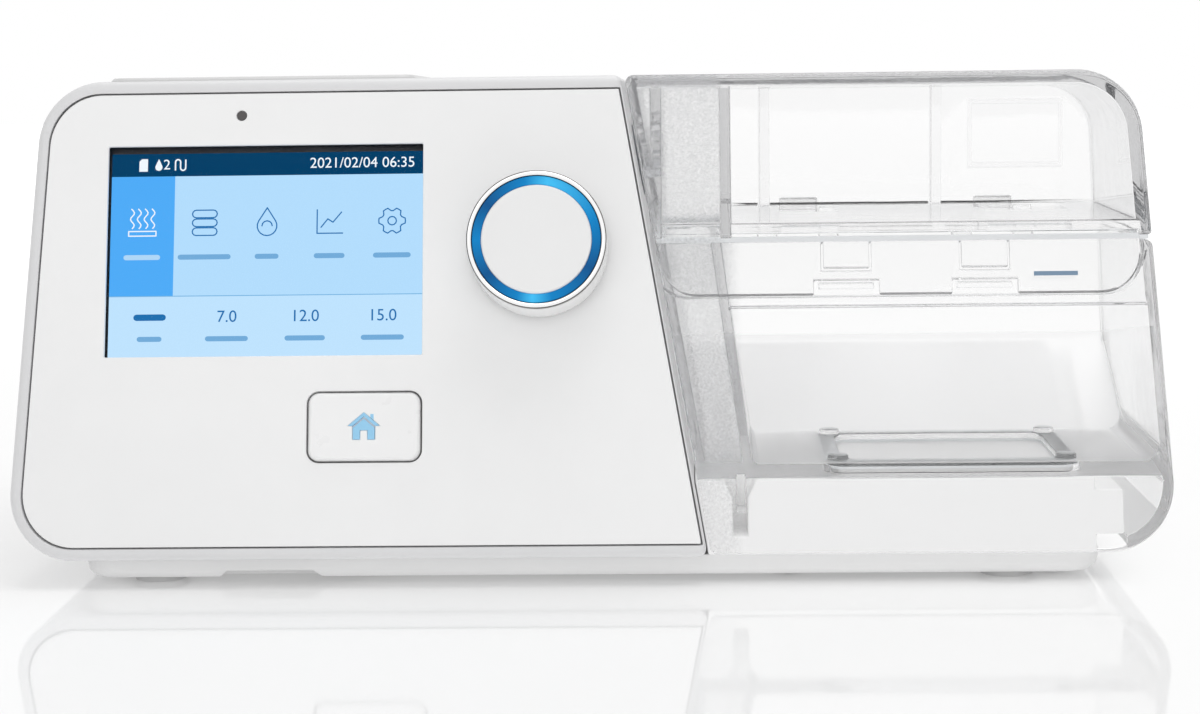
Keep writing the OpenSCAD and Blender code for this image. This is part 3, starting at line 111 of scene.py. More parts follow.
def shade(colour, factor):
    """The colour made darker or lighter."""
    return (colour[0] * factor, colour[1] * factor, colour[2] * factor, 1.0)


class Look:
    """A material with its Principled shader and helpers for procedural detail."""

    def __init__(self, name):
        self.material = bpy.data.materials.new(name)
        self.material.use_nodes = True
        self.tree = self.material.node_tree
        self.shader = self.tree.nodes["Principled BSDF"]
        self.coords = None

    def add(self, kind, **settings):
        """A new node of that kind."""
        node = self.tree.nodes.new(kind)
        for key, value in settings.items():
            setattr(node, key, value)
        return node

    def join(self, source, target):
        self.tree.links.new(source, target)

    def math(self, operation, *values):
        """The result of a Math node whose inputs are sockets or plain numbers."""
        node = self.add("ShaderNodeMath", operation=operation)
        for place, value in enumerate(values):
            if isinstance(value, (int, float)):
                node.inputs[place].default_value = value
            else:
                self.join(value, node.inputs[place])
        return node.outputs[0]

    def place(self):
        """The point in the object's own frame."""
        if self.coords is None:
            self.coords = self.add("ShaderNodeTexCoord").outputs["Object"]
        return self.coords

    def part_of(self, vector, axis):
        """One coordinate of a vector."""
        split = self.add("ShaderNodeSeparateXYZ")
        self.join(vector, split.inputs["Vector"])
        return split.outputs[axis]

    def set(self, **values):
        """Sets sockets of the Principled shader, with _ for each space in a name."""
        for key, value in values.items():
            self.shader.inputs[key.replace("_", " ")].default_value = value
        return self

    def noise(self, size, detail=3.0, stretch=None):
        """Noise whose blobs are about size metres across."""
        node = self.add("ShaderNodeTexNoise")
        node.inputs["Scale"].default_value = 1 / size
        node.inputs["Detail"].default_value = detail
        vector = self.place()
        if stretch:
            mapping = self.add("ShaderNodeMapping")
            mapping.inputs["Scale"].default_value = stretch
            self.join(vector, mapping.inputs["Vector"])
            vector = mapping.outputs["Vector"]
        self.join(vector, node.inputs["Vector"])
        return node.outputs["Fac"]

    def spread(self, factor, low, high, start=0.0, end=1.0, shape="LINEAR"):
        """Runs from low to high while factor runs from start to end."""
        node = self.add("ShaderNodeMapRange", interpolation_type=shape)
        node.inputs["From Min"].default_value = start
        node.inputs["From Max"].default_value = end
        node.inputs["To Min"].default_value = low
        node.inputs["To Max"].default_value = high
        self.join(factor, node.inputs["Value"])
        return node.outputs["Result"]

    def vary(self, socket, low, high, factor):
        """Drives a number of the shader between low and high."""
        self.join(self.spread(factor, low, high), self.shader.inputs[socket])
        return self

    def tint(self, first, second, factor, socket="Base Color"):
        """Drives a colour of the shader between two colours."""
        node = self.add("ShaderNodeMix", data_type="RGBA")
        node.inputs["A"].default_value = first
        node.inputs["B"].default_value = second
        self.join(factor, node.inputs["Factor"])
        self.join(node.outputs["Result"], self.shader.inputs[socket])
        return self

    def bump(self, height, depth):
        """Raises the surface by up to depth metres."""
        node = self.add("ShaderNodeBump")
        node.inputs["Distance"].default_value = depth
        node.inputs["Strength"].default_value = 1.0
        self.join(height, node.inputs["Height"])
        self.join(node.outputs["Normal"], self.shader.inputs["Normal"])
        return self

    def ramp(self, factor, stops):
        """Colours along factor, from pairs of place and colour."""
        node = self.add("ShaderNodeValToRGB")
        elements = node.color_ramp.elements
        elements[0].position, elements[0].color = stops[0]
        elements[1].position, elements[1].color = stops[-1]
        for place, colour in stops[1:-1]:
            elements.new(place).color = colour
        self.join(factor, node.inputs["Fac"])
        return node.outputs["Color"]

    def blend(self, share, surface, skin):
        """Mixes surface with skin by share."""
        node = self.add("ShaderNodeMixShader")
        self.join(share, node.inputs["Fac"])
        self.join(surface, node.inputs[1])
        self.join(skin, node.inputs[2])
        return node.outputs["Shader"]

    def skin(self, kind, colour):
        """A plain shader of that kind and colour."""
        node = self.add(kind)
        node.inputs["Color"].default_value = colour
        return node.outputs["BSDF"]

    def at_glance(self, power):
        """Runs from 0 where a face is seen square on to 1 where it is seen edge on."""
        weight = self.add("ShaderNodeLayerWeight")
        weight.inputs["Blend"].default_value = 0.5
        return self.math("POWER", weight.outputs["Facing"], power)

    def left_of(self, edge):
        """One where x is under edge, nought beyond it."""
        x = self.part_of(self.place(), "X")
        return self.spread(x, 0.0, 1.0, start=edge + SOFT_EDGE, end=edge - SOFT_EDGE)

    def level_under(self, height):
        """One on faces that look up or down under height, nought elsewhere."""
        normal = self.add("ShaderNodeTexCoord").outputs["Normal"]
        upright = self.math("ABSOLUTE", self.part_of(normal, "Z"))
        level = self.math("GREATER_THAN", upright, LEVEL_FROM)
        low = self.math("LESS_THAN", self.part_of(self.place(), "Z"), height)
        return self.math("MULTIPLY", level, low)


# Kinds of material

TONE_PATCH = 14 * MM
GLOSS_PATCH = 4 * MM
COAT_ROUGH = 0.08


def plastic(name, colour, rough, grain=0.35 * MM, depth=0.006 * MM, spread=0.03, coat=0.0):
    """Moulded plastic: a fine spark-eroded grain and a little unevenness in tone and gloss."""
    look = Look(name)
    look.tint(shade(colour, 1 - spread), shade(colour, 1 + spread * 0.3), look.noise(TONE_PATCH))
    look.vary("Roughness", rough * 0.9, rough * 1.12, look.noise(GLOSS_PATCH))
    look.bump(look.noise(grain, detail=2.0), depth)
    look.set(Coat_Weight=coat, Coat_Roughness=COAT_ROUGH)
    return look


def rubber(name, colour, rough):
    """Rubber or silicone: a deeper grain and little gloss."""
    look = plastic(name, colour, rough, grain=0.25 * MM, depth=0.015 * MM, spread=0.1)
    look.set(Specular_IOR_Level=0.25)
    return look


def metal(name, colour, rough, stretch, grain=0.12 * MM, depth=0.004 * MM):
    """Metal brushed or turned along one way."""
    look = Look(name)
    lines = look.noise(grain, detail=4.0, stretch=stretch)
    look.tint(shade(colour, 0.88), colour, lines)
    look.vary("Roughness", rough * 0.75, rough * 1.3, lines)
    look.bump(lines, depth)
    look.set(Metallic=1.0)
    return look


SMOKE = srgb(150, 150, 153)
# How fast the painted edge shade of clear plastic sets in as a face turns edge on
EDGE_POWER = 3.0
CLEAR_WAVE = 9 * MM
CLEAR_PATCH = 3 * MM
CLEAR_SHADOW = (0.99, 0.99, 0.99, 1.0)
ETCH_GRAIN = 0.6 * MM
ETCH_FROM = 0.35
ETCH_TO = 0.65
ETCH_THIN = 0.03
ETCH_THICK = 0.2
ETCH_MILK = srgb(205, 206, 208)
# Painted shade: the share and grey of a dark diffuse skin on level faces of the clear lid
PAINTED_SHADE_SHARE = 0.6
PAINTED_SHADE_GREY = srgb(110, 110, 112)
DULL_ROUGH = 0.3
SCREEN_SPECK = 0.19 * MM


def clear(name, colour, edge, rough, index, density=0.0, depth=0.02 * MM, frost=None, matt=None, dull=None):
    """Clear moulded plastic: painted shade makes it greyer where it is seen edge on, and it is greyer where
    light runs a long way inside it.

    Left of the place frost the moulding is etched. Level faces under the height given for the painted shade
    get a dark grey diffuse skin, painted shade that darkens the edges seen there, and those under the height
    dull scatter what is seen through them.
    """
    look = Look(name)
    look.set(Transmission_Weight=1.0, IOR=index)
    # Painted shade: the colour runs to the grey edge colour where a face is seen edge on
    look.tint(colour, edge, look.at_glance(EDGE_POWER))
    gloss = look.spread(look.noise(CLEAR_PATCH), rough * 0.6, rough * 1.6)
    if dull is not None:
        gloss = look.math("MULTIPLY_ADD", look.level_under(dull), DULL_ROUGH, gloss)
    look.join(gloss, look.shader.inputs["Roughness"])
    height = look.noise(CLEAR_WAVE, detail=1.0)
    surface = look.shader.outputs["BSDF"]
    if frost is not None:
        mask = look.left_of(frost)
        grain = look.noise(ETCH_GRAIN, detail=4.0)
        height = look.math("MULTIPLY_ADD", grain, mask, height)
        milk = look.spread(grain, ETCH_THIN, ETCH_THICK, start=ETCH_FROM, end=ETCH_TO)
        share = look.math("MULTIPLY", milk, mask)
        surface = look.blend(share, surface, look.skin("ShaderNodeBsdfTranslucent", ETCH_MILK))
    look.bump(height, depth)
    if matt is not None:
        # Painted shade: level faces under that height get a dark grey diffuse skin, which darkens the edges
        # seen there
        share = look.math("MULTIPLY", look.level_under(matt), PAINTED_SHADE_SHARE)
        surface = look.blend(share, surface, look.skin("ShaderNodeBsdfDiffuse", PAINTED_SHADE_GREY))
    output = look.tree.nodes["Material Output"]
    if density:
        inside = look.add("ShaderNodeVolumeAbsorption")
        inside.inputs["Color"].default_value = SMOKE
        inside.inputs["Density"].default_value = density
        look.join(inside.outputs["Volume"], output.inputs["Volume"])
    path = look.add("ShaderNodeLightPath")
    passing = look.math("MAXIMUM", path.outputs["Is Shadow Ray"], path.outputs["Is Diffuse Ray"])
    straight = look.skin("ShaderNodeBsdfTransparent", CLEAR_SHADOW)
    look.join(look.blend(passing, surface, straight), output.inputs["Surface"])
    return look


def lit(name, colour):
    """A patch of the lit screen: its own light, with faint specks."""
    look = Look(name)
    look.set(Base_Color=(0.0, 0.0, 0.0, 1.0), Roughness=0.5, Specular_IOR_Level=0.0)
    look.set(Emission_Strength=1.0)
    specks = look.noise(SCREEN_SPECK, detail=0.0)
    look.tint(shade(colour, 0.97), shade(colour, 1.02), specks, socket="Emission Color")
    return look


# The machine's materials

TANK_FROST = 34 * MM
LID_FROST = 31 * MM
# Height under which the lid's level faces get the painted shade
PAINTED_SHADE_UNDER = 65 * MM
DULL_UNDER = 60 * MM


def white_looks():
    """The white and grey mouldings of the outside."""
    case_white = srgb(219, 219, 220)
    panel_white = srgb(240, 240, 240)
    base_grey = srgb(230, 230, 230)
    knob_white = srgb(237, 237, 237)
    button_white = srgb(241, 241, 241)
    fine = 0.003 * MM
    polished = 0.001 * MM
    return {
        "case": plastic("case_white", case_white, 0.36),
        "rear": plastic("case_rear_white", case_white, 0.42),
        "panel": plastic("panel_white", panel_white, 0.3, grain=0.5 * MM, depth=fine, coat=0.25),
        "cover": plastic("cover_grey", srgb(208, 208, 208), 0.35),
        "base": plastic("base_grey", base_grey, 0.45, grain=0.5 * MM, depth=0.02 * MM),
        "knob": plastic("knob_white", knob_white, 0.22, grain=0.6 * MM, depth=polished, coat=0.4),
        "button": plastic("button_white", button_white, 0.28, grain=0.5 * MM, depth=fine, coat=0.3),
        "outlet": plastic("outlet_grey", srgb(214, 216, 219), 0.35),
        "dock": plastic("dock_white", srgb(248, 248, 248), 0.5, spread=0.015),
    }


def dark_looks():
    """The black, blue, green and amber pieces."""
    board = srgb(20, 92, 52)
    fibre = srgb(206, 216, 226)
    gloss = 0.001 * MM
    return {
        "black": plastic("moulded_black", srgb(38, 38, 40), 0.5, spread=0.1),
        "border": plastic("screen_border", srgb(26, 28, 34), 0.35),
        "lens": plastic("lens_black", srgb(50, 46, 46), 0.15, depth=gloss, coat=0.6),
        "inlay": plastic("inlay_blue", srgb(150, 205, 238), 0.35, spread=0.05),
        "mark": plastic("mark_blue", srgb(118, 142, 166), 0.5),
        "card": plastic("card_blue", srgb(28, 66, 132), 0.4),
        "board": plastic("board_green", board, 0.3, grain=1.2 * MM, depth=0.01 * MM, spread=0.15, coat=0.5),
        "blower": plastic("blower_grey", srgb(88, 92, 98), 0.45),
        "filter": plastic("filter_fibre", fibre, 0.95, grain=0.5 * MM, depth=0.4 * MM, spread=0.25),
        "film": plastic("film_amber", srgb(206, 140, 40), 0.25, coat=0.5),
    }


def soft_looks():
    """Feet, seals and mounts."""
    return {
        "feet": rubber("foot_rubber", srgb(196, 196, 196), 0.75),
        "silicone": rubber("silicone_grey", srgb(120, 122, 126), 0.55),
        "seal": rubber("seal_pale", srgb(232, 234, 236), 0.4),
    }


def metal_looks():
    """Screws, motor, heater and the tank's plate, brushed along one way each."""
    plate = srgb(236, 236, 236)
    return {
        "screw": metal("screw_steel", srgb(190, 190, 192), 0.3, (1, 1, 8)),
        "motor": metal("motor_steel", srgb(170, 171, 175), 0.28, (1, 1, 12)),
        "heater": metal("heater_metal", srgb(214, 214, 216), 0.32, (1, 20, 1)),
        "plate": metal("plate_metal", plate, 0.42, (1, 3, 1), grain=0.7 * MM, depth=0.03 * MM),
    }


def clear_looks():
    """The clear tank and lid, and the glass over the screen."""
    # Greys that clear faces take where they are seen edge on: painted shade
    tank_edge_on_shade = srgb(214, 215, 217)
    lid_edge_on_shade = srgb(190, 190, 193)
    floor_edge_on_shade = srgb(225, 226, 228)
    return {
        "tank": clear("tank_clear", srgb(252, 252, 252), tank_edge_on_shade, 0.03, 1.42, density=7, frost=TANK_FROST,
                      dull=DULL_UNDER),
        "lid": clear("lid_clear", srgb(253, 253, 253), lid_edge_on_shade, 0.03, 1.42, density=11, frost=LID_FROST,
                     matt=PAINTED_SHADE_UNDER),
        "lid_floor": clear("lid_floor_clear", srgb(249, 249, 249), floor_edge_on_shade, 0.05, 1.22),
        "glass": clear("screen_glass", WHITE, WHITE, 0.02, 1.05, depth=0.0),
    }


def ring_look():
    """The knob's blue ring: faintly lit, with painted highlights and painted shade in stretches round it."""
    deep = srgb(0, 74, 128)
    mid = srgb(0, 118, 180)
    pale = srgb(60, 175, 225)
    # Painted highlights at the pale stops and painted shade at the deep stops, fixed round the ring
    stops = ((0.0, mid), (0.1, deep), (0.2, mid), (0.24, pale), (0.29, mid), (0.42, deep), (0.55, mid),
             (0.72, pale), (0.78, mid), (0.9, deep), (1.0, mid))
    look = Look("ring_blue")
    mapping = look.add("ShaderNodeMapping", vector_type="TEXTURE")
    mapping.inputs["Location"].default_value = face_point(KNOB_X, KNOB_S)
    mapping.inputs["Rotation"].default_value = (math.pi / 2 - LEAN, 0, 0)
    sweep = look.add("ShaderNodeTexGradient", gradient_type="RADIAL")
    look.join(look.place(), mapping.inputs["Vector"])
    look.join(mapping.outputs["Vector"], sweep.inputs["Vector"])
    colours = look.ramp(sweep.outputs["Fac"], stops)
    look.join(colours, look.shader.inputs["Base Color"])
    look.join(colours, look.shader.inputs["Emission Color"])
    look.set(Emission_Strength=0.3, Roughness=0.2, Specular_IOR_Level=0.15)
    look.set(Coat_Weight=0.05, Coat_Roughness=0.05)
    return look


def chrome_look():
    """Plated plastic with a painted reflection: dark where it is seen edge on, as where it mirrors the room.
    """
    bright = srgb(250, 250, 250)
    silver = srgb(245, 245, 245)
    dark = srgb(70, 62, 58)
    darkest = srgb(48, 42, 38)
    look = Look("knob_chrome")
    # Painted reflection: bright where the plating is seen square on, dark where it is seen edge on
    colours = look.ramp(look.at_glance(1.0), ((0.0, bright), (0.2, silver), (0.36, dark), (1.0, darkest)))
    look.join(colours, look.shader.inputs["Base Color"])
    look.vary("Roughness", 0.05, 0.1, look.noise(2 * MM))
    look.bump(look.noise(1.5 * MM), 0.0005 * MM)
    look.set(Metallic=1.0)
    return look


looks = {**white_looks(), **dark_looks(), **soft_looks(), **metal_looks(), **clear_looks()}
looks["glass"].set(Specular_IOR_Level=0.3)
looks["ring"] = ring_look()
looks["chrome"] = chrome_look()

NODE_LOOKS = {
    "base_tray": "base", "rubber_feet": "feet", "base_screws": "screw", "main_case": "case",
    "front_panel": "panel", "top_cover": "cover", "screen_glass": "glass", "screen_module": "border",
    "screen_frame": "black", "light_sensor_lens": "lens", "knob_shell": "knob", "knob_chrome_ring": "chrome",
    "knob_light_ring": "ring", "knob_disc": "knob", "encoder_shaft": "screw", "encoder_plunger": "dock",
    "encoder_body": "black", "home_button": "button", "home_inlay": "inlay", "home_switch": "black",
    "control_board": "board", "main_board": "board", "board_screws": "screw", "blower_mounts": "silicone",
    "blower_case": "blower", "blower_cover": "blower", "blower_impeller": "dock", "blower_shaft": "screw",
    "blower_motor": "motor", "supply_duct": "blower", "return_duct": "blower", "port_gaskets": "silicone",
    "air_outlet": "outlet", "air_filter": "filter", "filter_cover": "rear", "memory_card": "card",
    "card_socket": "screw", "card_board": "board", "power_inlet": "black", "tube_heater_socket": "black",
    "heater_dock": "dock", "heater_plate": "heater", "heater_film": "film", "heater_bracket": "screw",
    "tank_shell": "tank", "tank_plate": "plate", "tank_gasket": "seal", "lid_shell": "lid",
    "lid_floor": "lid_floor", "lid_seal": "seal", "hinge_pins": "plate",
}
for node_name, look_name in NODE_LOOKS.items():
    materials = nodes[node_name].data.materials
    materials.clear()
    materials.append(looks[look_name].material)


# Pieces: CAD nodes with their hard edges rounded. Angles are in degrees, lengths in metres

SHARP = 34.0
SOFT = 40.0
WELD = 0.002 * MM
SEEN_SPIKE = 0.3 * MM * MM
BEVEL_TRIES = 6


def body_of_node(name):
    return nodes[name]["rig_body"]


def finish_mesh(bm, name, look, soft_angle=SOFT):
    """Makes an object of bm, smooth but for its hard edges."""
    for face in bm.faces:
        face.smooth = True
    limit = math.radians(soft_angle)
    for edge in bm.edges:
        edge.smooth = edge.is_manifold and edge.calc_face_angle(0.0) < limit
    mesh = bpy.data.meshes.new(name)
    bm.to_mesh(mesh)
    bm.free()
    piece = bpy.data.objects.new(name, mesh)
    bpy.context.scene.collection.objects.link(piece)
    mesh.materials.append(look.material)
    return piece


def spike(bm):
    """The corners of the largest triangle that turns against its own face, where it could be seen."""
    bm.normal_update()
    corners = []
    largest = SEEN_SPIKE
    for loops in bm.calc_loop_triangles():
        first, second, third = (loop.vert.co for loop in loops)
        turned = (second - first).cross(third - first)
        if turned.length > 2 * largest and turned.dot(loops[0].face.normal) < 0.5 * turned.length:
            corners = [first.copy(), second.copy(), third.copy()]
            largest = turned.length / 2
    return corners


def near_any(edge, places, reach):
    """Whether an end of the edge lies within reach of one of the places."""
    return any((vert.co - place).length < reach for vert in edge.verts for place in places)


def rounded(mesh, bevel):
    """The mesh with its hard edges rounded, but for those that would throw a spike."""
    limit = math.radians(SHARP)
    spared = []
    for _ in range(BEVEL_TRIES):
        bm = bmesh.new()
        bm.from_mesh(mesh)
        bmesh.ops.remove_doubles(bm, verts=bm.verts, dist=WELD)
        hard = [edge for edge in bm.edges if edge.is_manifold and edge.calc_face_angle(0.0) > limit]
        hard = [edge for edge in hard if not near_any(edge, spared, 4 * bevel)]
        bmesh.ops.bevel(bm, geom=hard, offset=bevel, segments=2, profile=0.5, affect="EDGES",
                        clamp_overlap=False)
        corners = spike(bm)
        if not corners:
            break
        spared += corners
    return bm


def dress(name, bevel):
    """Puts a copy of a CAD node with its hard edges rounded in place of the node."""
    bm = rounded(nodes[name].data, bevel)
    piece = finish_mesh(bm, name + "_dressed", looks[NODE_LOOKS[name]])
    weighted = piece.modifiers.new("weighted", "WEIGHTED_NORMAL")
    weighted.keep_sharp = True
    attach(piece, body_of_node(name))
    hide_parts(name)


BEVELS = {
    "main_case": 0.25, "front_panel": 0.3, "top_cover": 0.2, "base_tray": 0.25, "knob_shell": 0.5,
    "knob_light_ring": 0.15, "home_button": 0.3, "filter_cover": 0.25, "air_outlet": 0.4, "heater_dock": 0.5,
    "tank_shell": 0.35, "lid_shell": 0.35, "tank_plate": 0.1,
}
for node_name, width in BEVELS.items():
    dress(node_name, width * MM)


# Flat pieces on the leaning front

FLAT_SOFT = 20.0


def face_piece(bm, name, look, x, s, out, body):
    """Makes a piece of bm, which lies in the frame of the front, at that place."""
    piece = finish_mesh(bm, name, look, FLAT_SOFT)
    piece.data.transform(face_matrix(x, s, out))
    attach(piece, body)
    return piece


def add_plate(bm, outline, thick, low=0.0):
    """A flat plate of that outline, closed all round."""
    bottom = [bm.verts.new((x, y, low)) for x, y in outline]
    face = bm.faces.new(bottom)
    made = bmesh.ops.extrude_face_region(bm, geom=[face])
    top = [v for v in made["geom"] if isinstance(v, bmesh.types.BMVert)]
    bmesh.ops.translate(bm, verts=top, vec=(0, 0, thick))
    bmesh.ops.recalc_face_normals(bm, faces=bm.faces)


def box_outline(x0, y0, x1, y1):
    return [(x0, y0), (x1, y0), (x1, y1), (x0, y1)]


def arc(cx, cy, r, start, end, steps):
    """Points of an arc, in degrees."""
    turns = [math.radians(start + (end - start) * k / steps) for k in range(steps + 1)]
    return [(cx + r * math.cos(t), cy + r * math.sin(t)) for t in turns]


def stroke(points, width, closed=False):
    """The outlines of a line of that width along points, one plate for each stretch."""
    plates = []
    ends = points + points[:1] if closed else points
    for start, end in zip(ends, ends[1:]):
        a = Vector(start)
        b = Vector(end)
        along = (b - a).normalized() * width / 2
        side = Vector((-along.y, along.x))
        reach = along * 0.6
        plates.append([tuple(a - reach - side), tuple(b + reach - side), tuple(b + reach + side),
                       tuple(a - reach + side)])
    return plates


def in_mm(points):
    """Points given in millimetres, in metres."""
    return [(x * MM, y * MM) for x, y in points]


def shifted(outlines, x, y):
    return [[(px + x, py + y) for px, py in outline] for outline in outlines]


# The picture on the screen, in thin layers under the glass

LAYER = 0.035 * MM
SIDE_BORDER = 0.25 * MM
TOP_BORDER = 1.2 * MM
LEFT = -SCREEN_W / 2 + SIDE_BORDER
RIGHT = SCREEN_W / 2 - SIDE_BORDER
LOW = -SCREEN_H / 2 + SIDE_BORDER
TOP = SCREEN_H / 2 - TOP_BORDER
BAR_H = 5.4 * MM
FOOT_H = 14.4 * MM
FOOT_TOP = LOW + FOOT_H
BAR_LOW = TOP - BAR_H
BAR_Y = TOP - BAR_H / 2
TILE_W = 14.9 * MM
RULE_W = 0.2 * MM
THIN = 0.28 * MM

screen_colours = {
    "sky": srgb(180, 222, 254), "pale": srgb(192, 228, 255), "bar": srgb(7, 64, 104),
    "tile": srgb(80, 172, 248), "line": srgb(120, 180, 225), "ink": srgb(34, 112, 176),
    "caption": srgb(116, 172, 218), "light": srgb(176, 216, 248), "white": srgb(240, 248, 255),
}
screen_looks = {name: lit("screen_" + name, colour) for name, colour in screen_colours.items()}


def screen_piece(bm, name, look_name, level):
    """Makes a piece of bm at one level of the screen's stack."""
    out = -PICTURE_DEPTH + level * LAYER
    look = screen_looks[look_name]
    return face_piece(bm, name, look, SCREEN_X, SCREEN_S, out, "machine")


def screen_plates(name, look_name, level, outlines):
    """Thin plates on the screen at one level of its stack."""
    bm = bmesh.new()
    for outline in outlines:
        add_plate(bm, outline, LAYER)
    return screen_piece(bm, name, look_name, level)


def screen_box(name, look_name, level, x0, y0, x1, y1):
    return screen_plates(name, look_name, level, [box_outline(x0, y0, x1, y1)])


def screen_text(name, words, look_name, x, y, size):
    """Plain figures on the screen, as thin solids."""
    curve = bpy.data.curves.new(name, "FONT")
    curve.body = words
    curve.size = size
    curve.align_x = "CENTER"
    curve.align_y = "CENTER"
    curve.extrude = LAYER / 2
    holder = bpy.data.objects.new(name, curve)
    bpy.context.scene.collection.objects.link(holder)
    bpy.context.view_layer.update()
    mesh = bpy.data.meshes.new_from_object(holder)
    bpy.data.objects.remove(holder)
    bpy.data.curves.remove(curve)
    bm = bmesh.new()
    bm.from_mesh(mesh)
    bpy.data.meshes.remove(mesh)
    bmesh.ops.remove_doubles(bm, verts=bm.verts, dist=0.001 * MM)
    bmesh.ops.translate(bm, verts=bm.verts, vec=(x, y, LAYER / 2))
    return screen_piece(bm, name, look_name, 2)


screen_box("screen_middle", "sky", 0, LEFT, FOOT_TOP, RIGHT, BAR_LOW)
screen_box("screen_foot", "pale", 0, LEFT, LOW, RIGHT, FOOT_TOP)
screen_box("screen_status_bar", "bar", 0, LEFT, BAR_LOW, RIGHT, TOP)
screen_box("screen_tile", "tile", 1, LEFT, FOOT_TOP, LEFT + TILE_W, BAR_LOW)
screen_box("screen_line", "line", 1, LEFT, FOOT_TOP - RULE_W / 2, RIGHT, FOOT_TOP + RULE_W / 2)


# The five icons in the middle of the screen

def heat_icon():
    """Four waves over a tray."""
    pitch = 1.6
    swing = 0.45
    plates = []
    for k in range(4):
        x = (k - 1.5) * pitch
        wave = [(x + swing * math.sin(t * 0.9), -1.2 + t * 0.42) for t in range(12)]
        plates += stroke(in_mm(wave), THIN)
    tray = box_outline(-3.2, -3.0, 3.2, -1.9)
    plates += stroke(in_mm(tray), THIN, closed=True)
    return plates


def coil_icon():
    """Three flat turns of hose."""
    reach = 2.0
    pitch = 2.1
    bend = 0.9
    plates = []
    for k in range(3):
        y = (k - 1) * pitch
        ring = arc(-reach, y, bend, 90, 270, 6) + arc(reach, y, bend, -90, 90, 6)
        plates += stroke(in_mm(ring), THIN, closed=True)
    return plates


def drop_icon():
    """A drop with an arc inside."""
    middle = -0.9
    tip = 3.4
    belly = arc(0, middle, 2.3, 150, 390, 12)
    plates = stroke(in_mm([(0, tip)] + belly), THIN, closed=True)
    plates += stroke(in_mm(arc(0, middle, 1.2, 0, 180, 6)), THIN)
    return plates


def chart_icon():
    """Two axes and a line that climbs."""
    axes = [(-2.9, 2.8), (-2.9, -2.8), (3.1, -2.8)]
    line = [(-2.0, -1.4), (-0.4, 0.6), (0.8, -0.2), (2.8, 2.2)]
    return stroke(in_mm(axes), THIN) + stroke(in_mm(line), THIN)


def gear_icon():
    """A gear of six teeth with its bore."""
    teeth = 6
    tip = 3.1
    root = 2.4
    bore = 1.0
    rim = []
    for k in range(teeth):
        turn = 360 / teeth * k
        rim += arc(0, 0, tip, turn - 11, turn + 11, 2)
        rim += arc(0, 0, root, turn + 24, turn + 36, 1)
    plates = stroke(in_mm(rim), THIN, closed=True)
    plates += stroke(in_mm(arc(0, 0, bore, 0, 330, 11)), THIN, closed=True)
    return plates


def rounded_bar(x, y, width, height):
    """One rounded bar, where a caption would stand."""
    r = height / 2
    reach = width / 2 - r
    return [arc(x + reach, y, r, -90, 90, 6) + arc(x - reach, y, r, 90, 270, 6)]


ICON_Y = 7.1 * MM
ICON_PITCH = 14.6 * MM
CAPTION_Y = -1.0 * MM
CAPTION_H = 1.2 * MM
CAPTION_W = [8.6 * MM, 12.4 * MM, 5.6 * MM, 7.2 * MM, 8.8 * MM]
ICONS = {"heat": heat_icon, "coil": coil_icon, "drop": drop_icon, "chart": chart_icon, "gear": gear_icon}
ICON_X = [LEFT + TILE_W / 2 + k * ICON_PITCH for k in range(len(ICONS))]
for x, (icon_name, icon) in zip(ICON_X, ICONS.items()):
    colour = "white" if icon_name == "heat" else "ink"
    screen_plates("icon_" + icon_name, colour, 2, shifted(icon(), x, ICON_Y))
for k, width in enumerate(CAPTION_W):
    colour = "light" if k == 0 else "caption"
    bar = rounded_bar(ICON_X[k], CAPTION_Y, width, CAPTION_H)
    screen_plates("caption_top_" + str(k), colour, 2, bar)


# The four values at the foot of the screen, of which the first is a word and stays a bar

VALUE_X = [LEFT + 9.6 * MM, LEFT + 27.6 * MM, LEFT + 45.8 * MM, LEFT + 63.8 * MM]
VALUE_Y = LOW + 9.4 * MM
VALUE_SIZE = 3.9 * MM
VALUE_CAPTION_W = [5.8 * MM, 10.0 * MM, 9.4 * MM, 10.0 * MM]
VALUE_CAPTION_Y = LOW + 4.3 * MM
MODE_W = 7.6 * MM
MODE_H = 1.5 * MM
screen_plates("value_mode", "ink", 2, rounded_bar(VALUE_X[0], VALUE_Y, MODE_W, MODE_H))
for k, figures in enumerate(("7.0", "12.0", "15.0"), start=1):
    screen_text("value_" + str(k), figures, "ink", VALUE_X[k], VALUE_Y, VALUE_SIZE)
for k, width in enumerate(VALUE_CAPTION_W):
    bar = rounded_bar(VALUE_X[k], VALUE_CAPTION_Y, width, CAPTION_H)
    screen_plates("caption_low_" + str(k), "caption", 2, bar)


# The status bar: card, drop with its level, tube and clock

def card_outline(x, y):
    """A memory card with one corner cut off."""
    half_w = 1.0 * MM
    half_h = 1.5 * MM
    cut = 0.6 * MM
    return [(x - half_w, y - half_h), (x + half_w, y - half_h), (x + half_w, y + half_h),
            (x - half_w + cut, y + half_h), (x - half_w, y + half_h - cut)]


def drop_outline(x, y):
    """A small full drop."""
    return [(x, y + 1.5 * MM)] + arc(x, y - 0.5 * MM, 0.85 * MM, 160, 380, 10)


def tube_line(x, y):
    """A tube that bends up and down once."""
    bend = 0.6 * MM
    rise = 0.7 * MM
    end = 1.2 * MM
    up = arc(x + bend, y + rise, bend, 180, 0, 5)
    down = arc(x + 3 * bend, y - rise, bend, 180, 360, 5)
    return [(x, y - end)] + up + down + [(x + 4 * bend, y + end)]


screen_text("clock", "2021/02/04 06:35", "white", RIGHT - 14.2 * MM, BAR_Y, 3.5 * MM)
screen_text("level", "2", "white", LEFT + 12.9 * MM, BAR_Y, 3.4 * MM)
screen_plates("icon_card", "white", 2, [card_outline(LEFT + 7.4 * MM, BAR_Y)])
screen_plates("icon_small_drop", "white", 2, [drop_outline(LEFT + 11.0 * MM, BAR_Y)])
screen_plates("icon_small_tube", "white", 2, stroke(tube_line(LEFT + 14.9 * MM, BAR_Y), THIN * 1.2))


# The house in the home key: roof and walls flush with the cap, and a chimney printed beside them

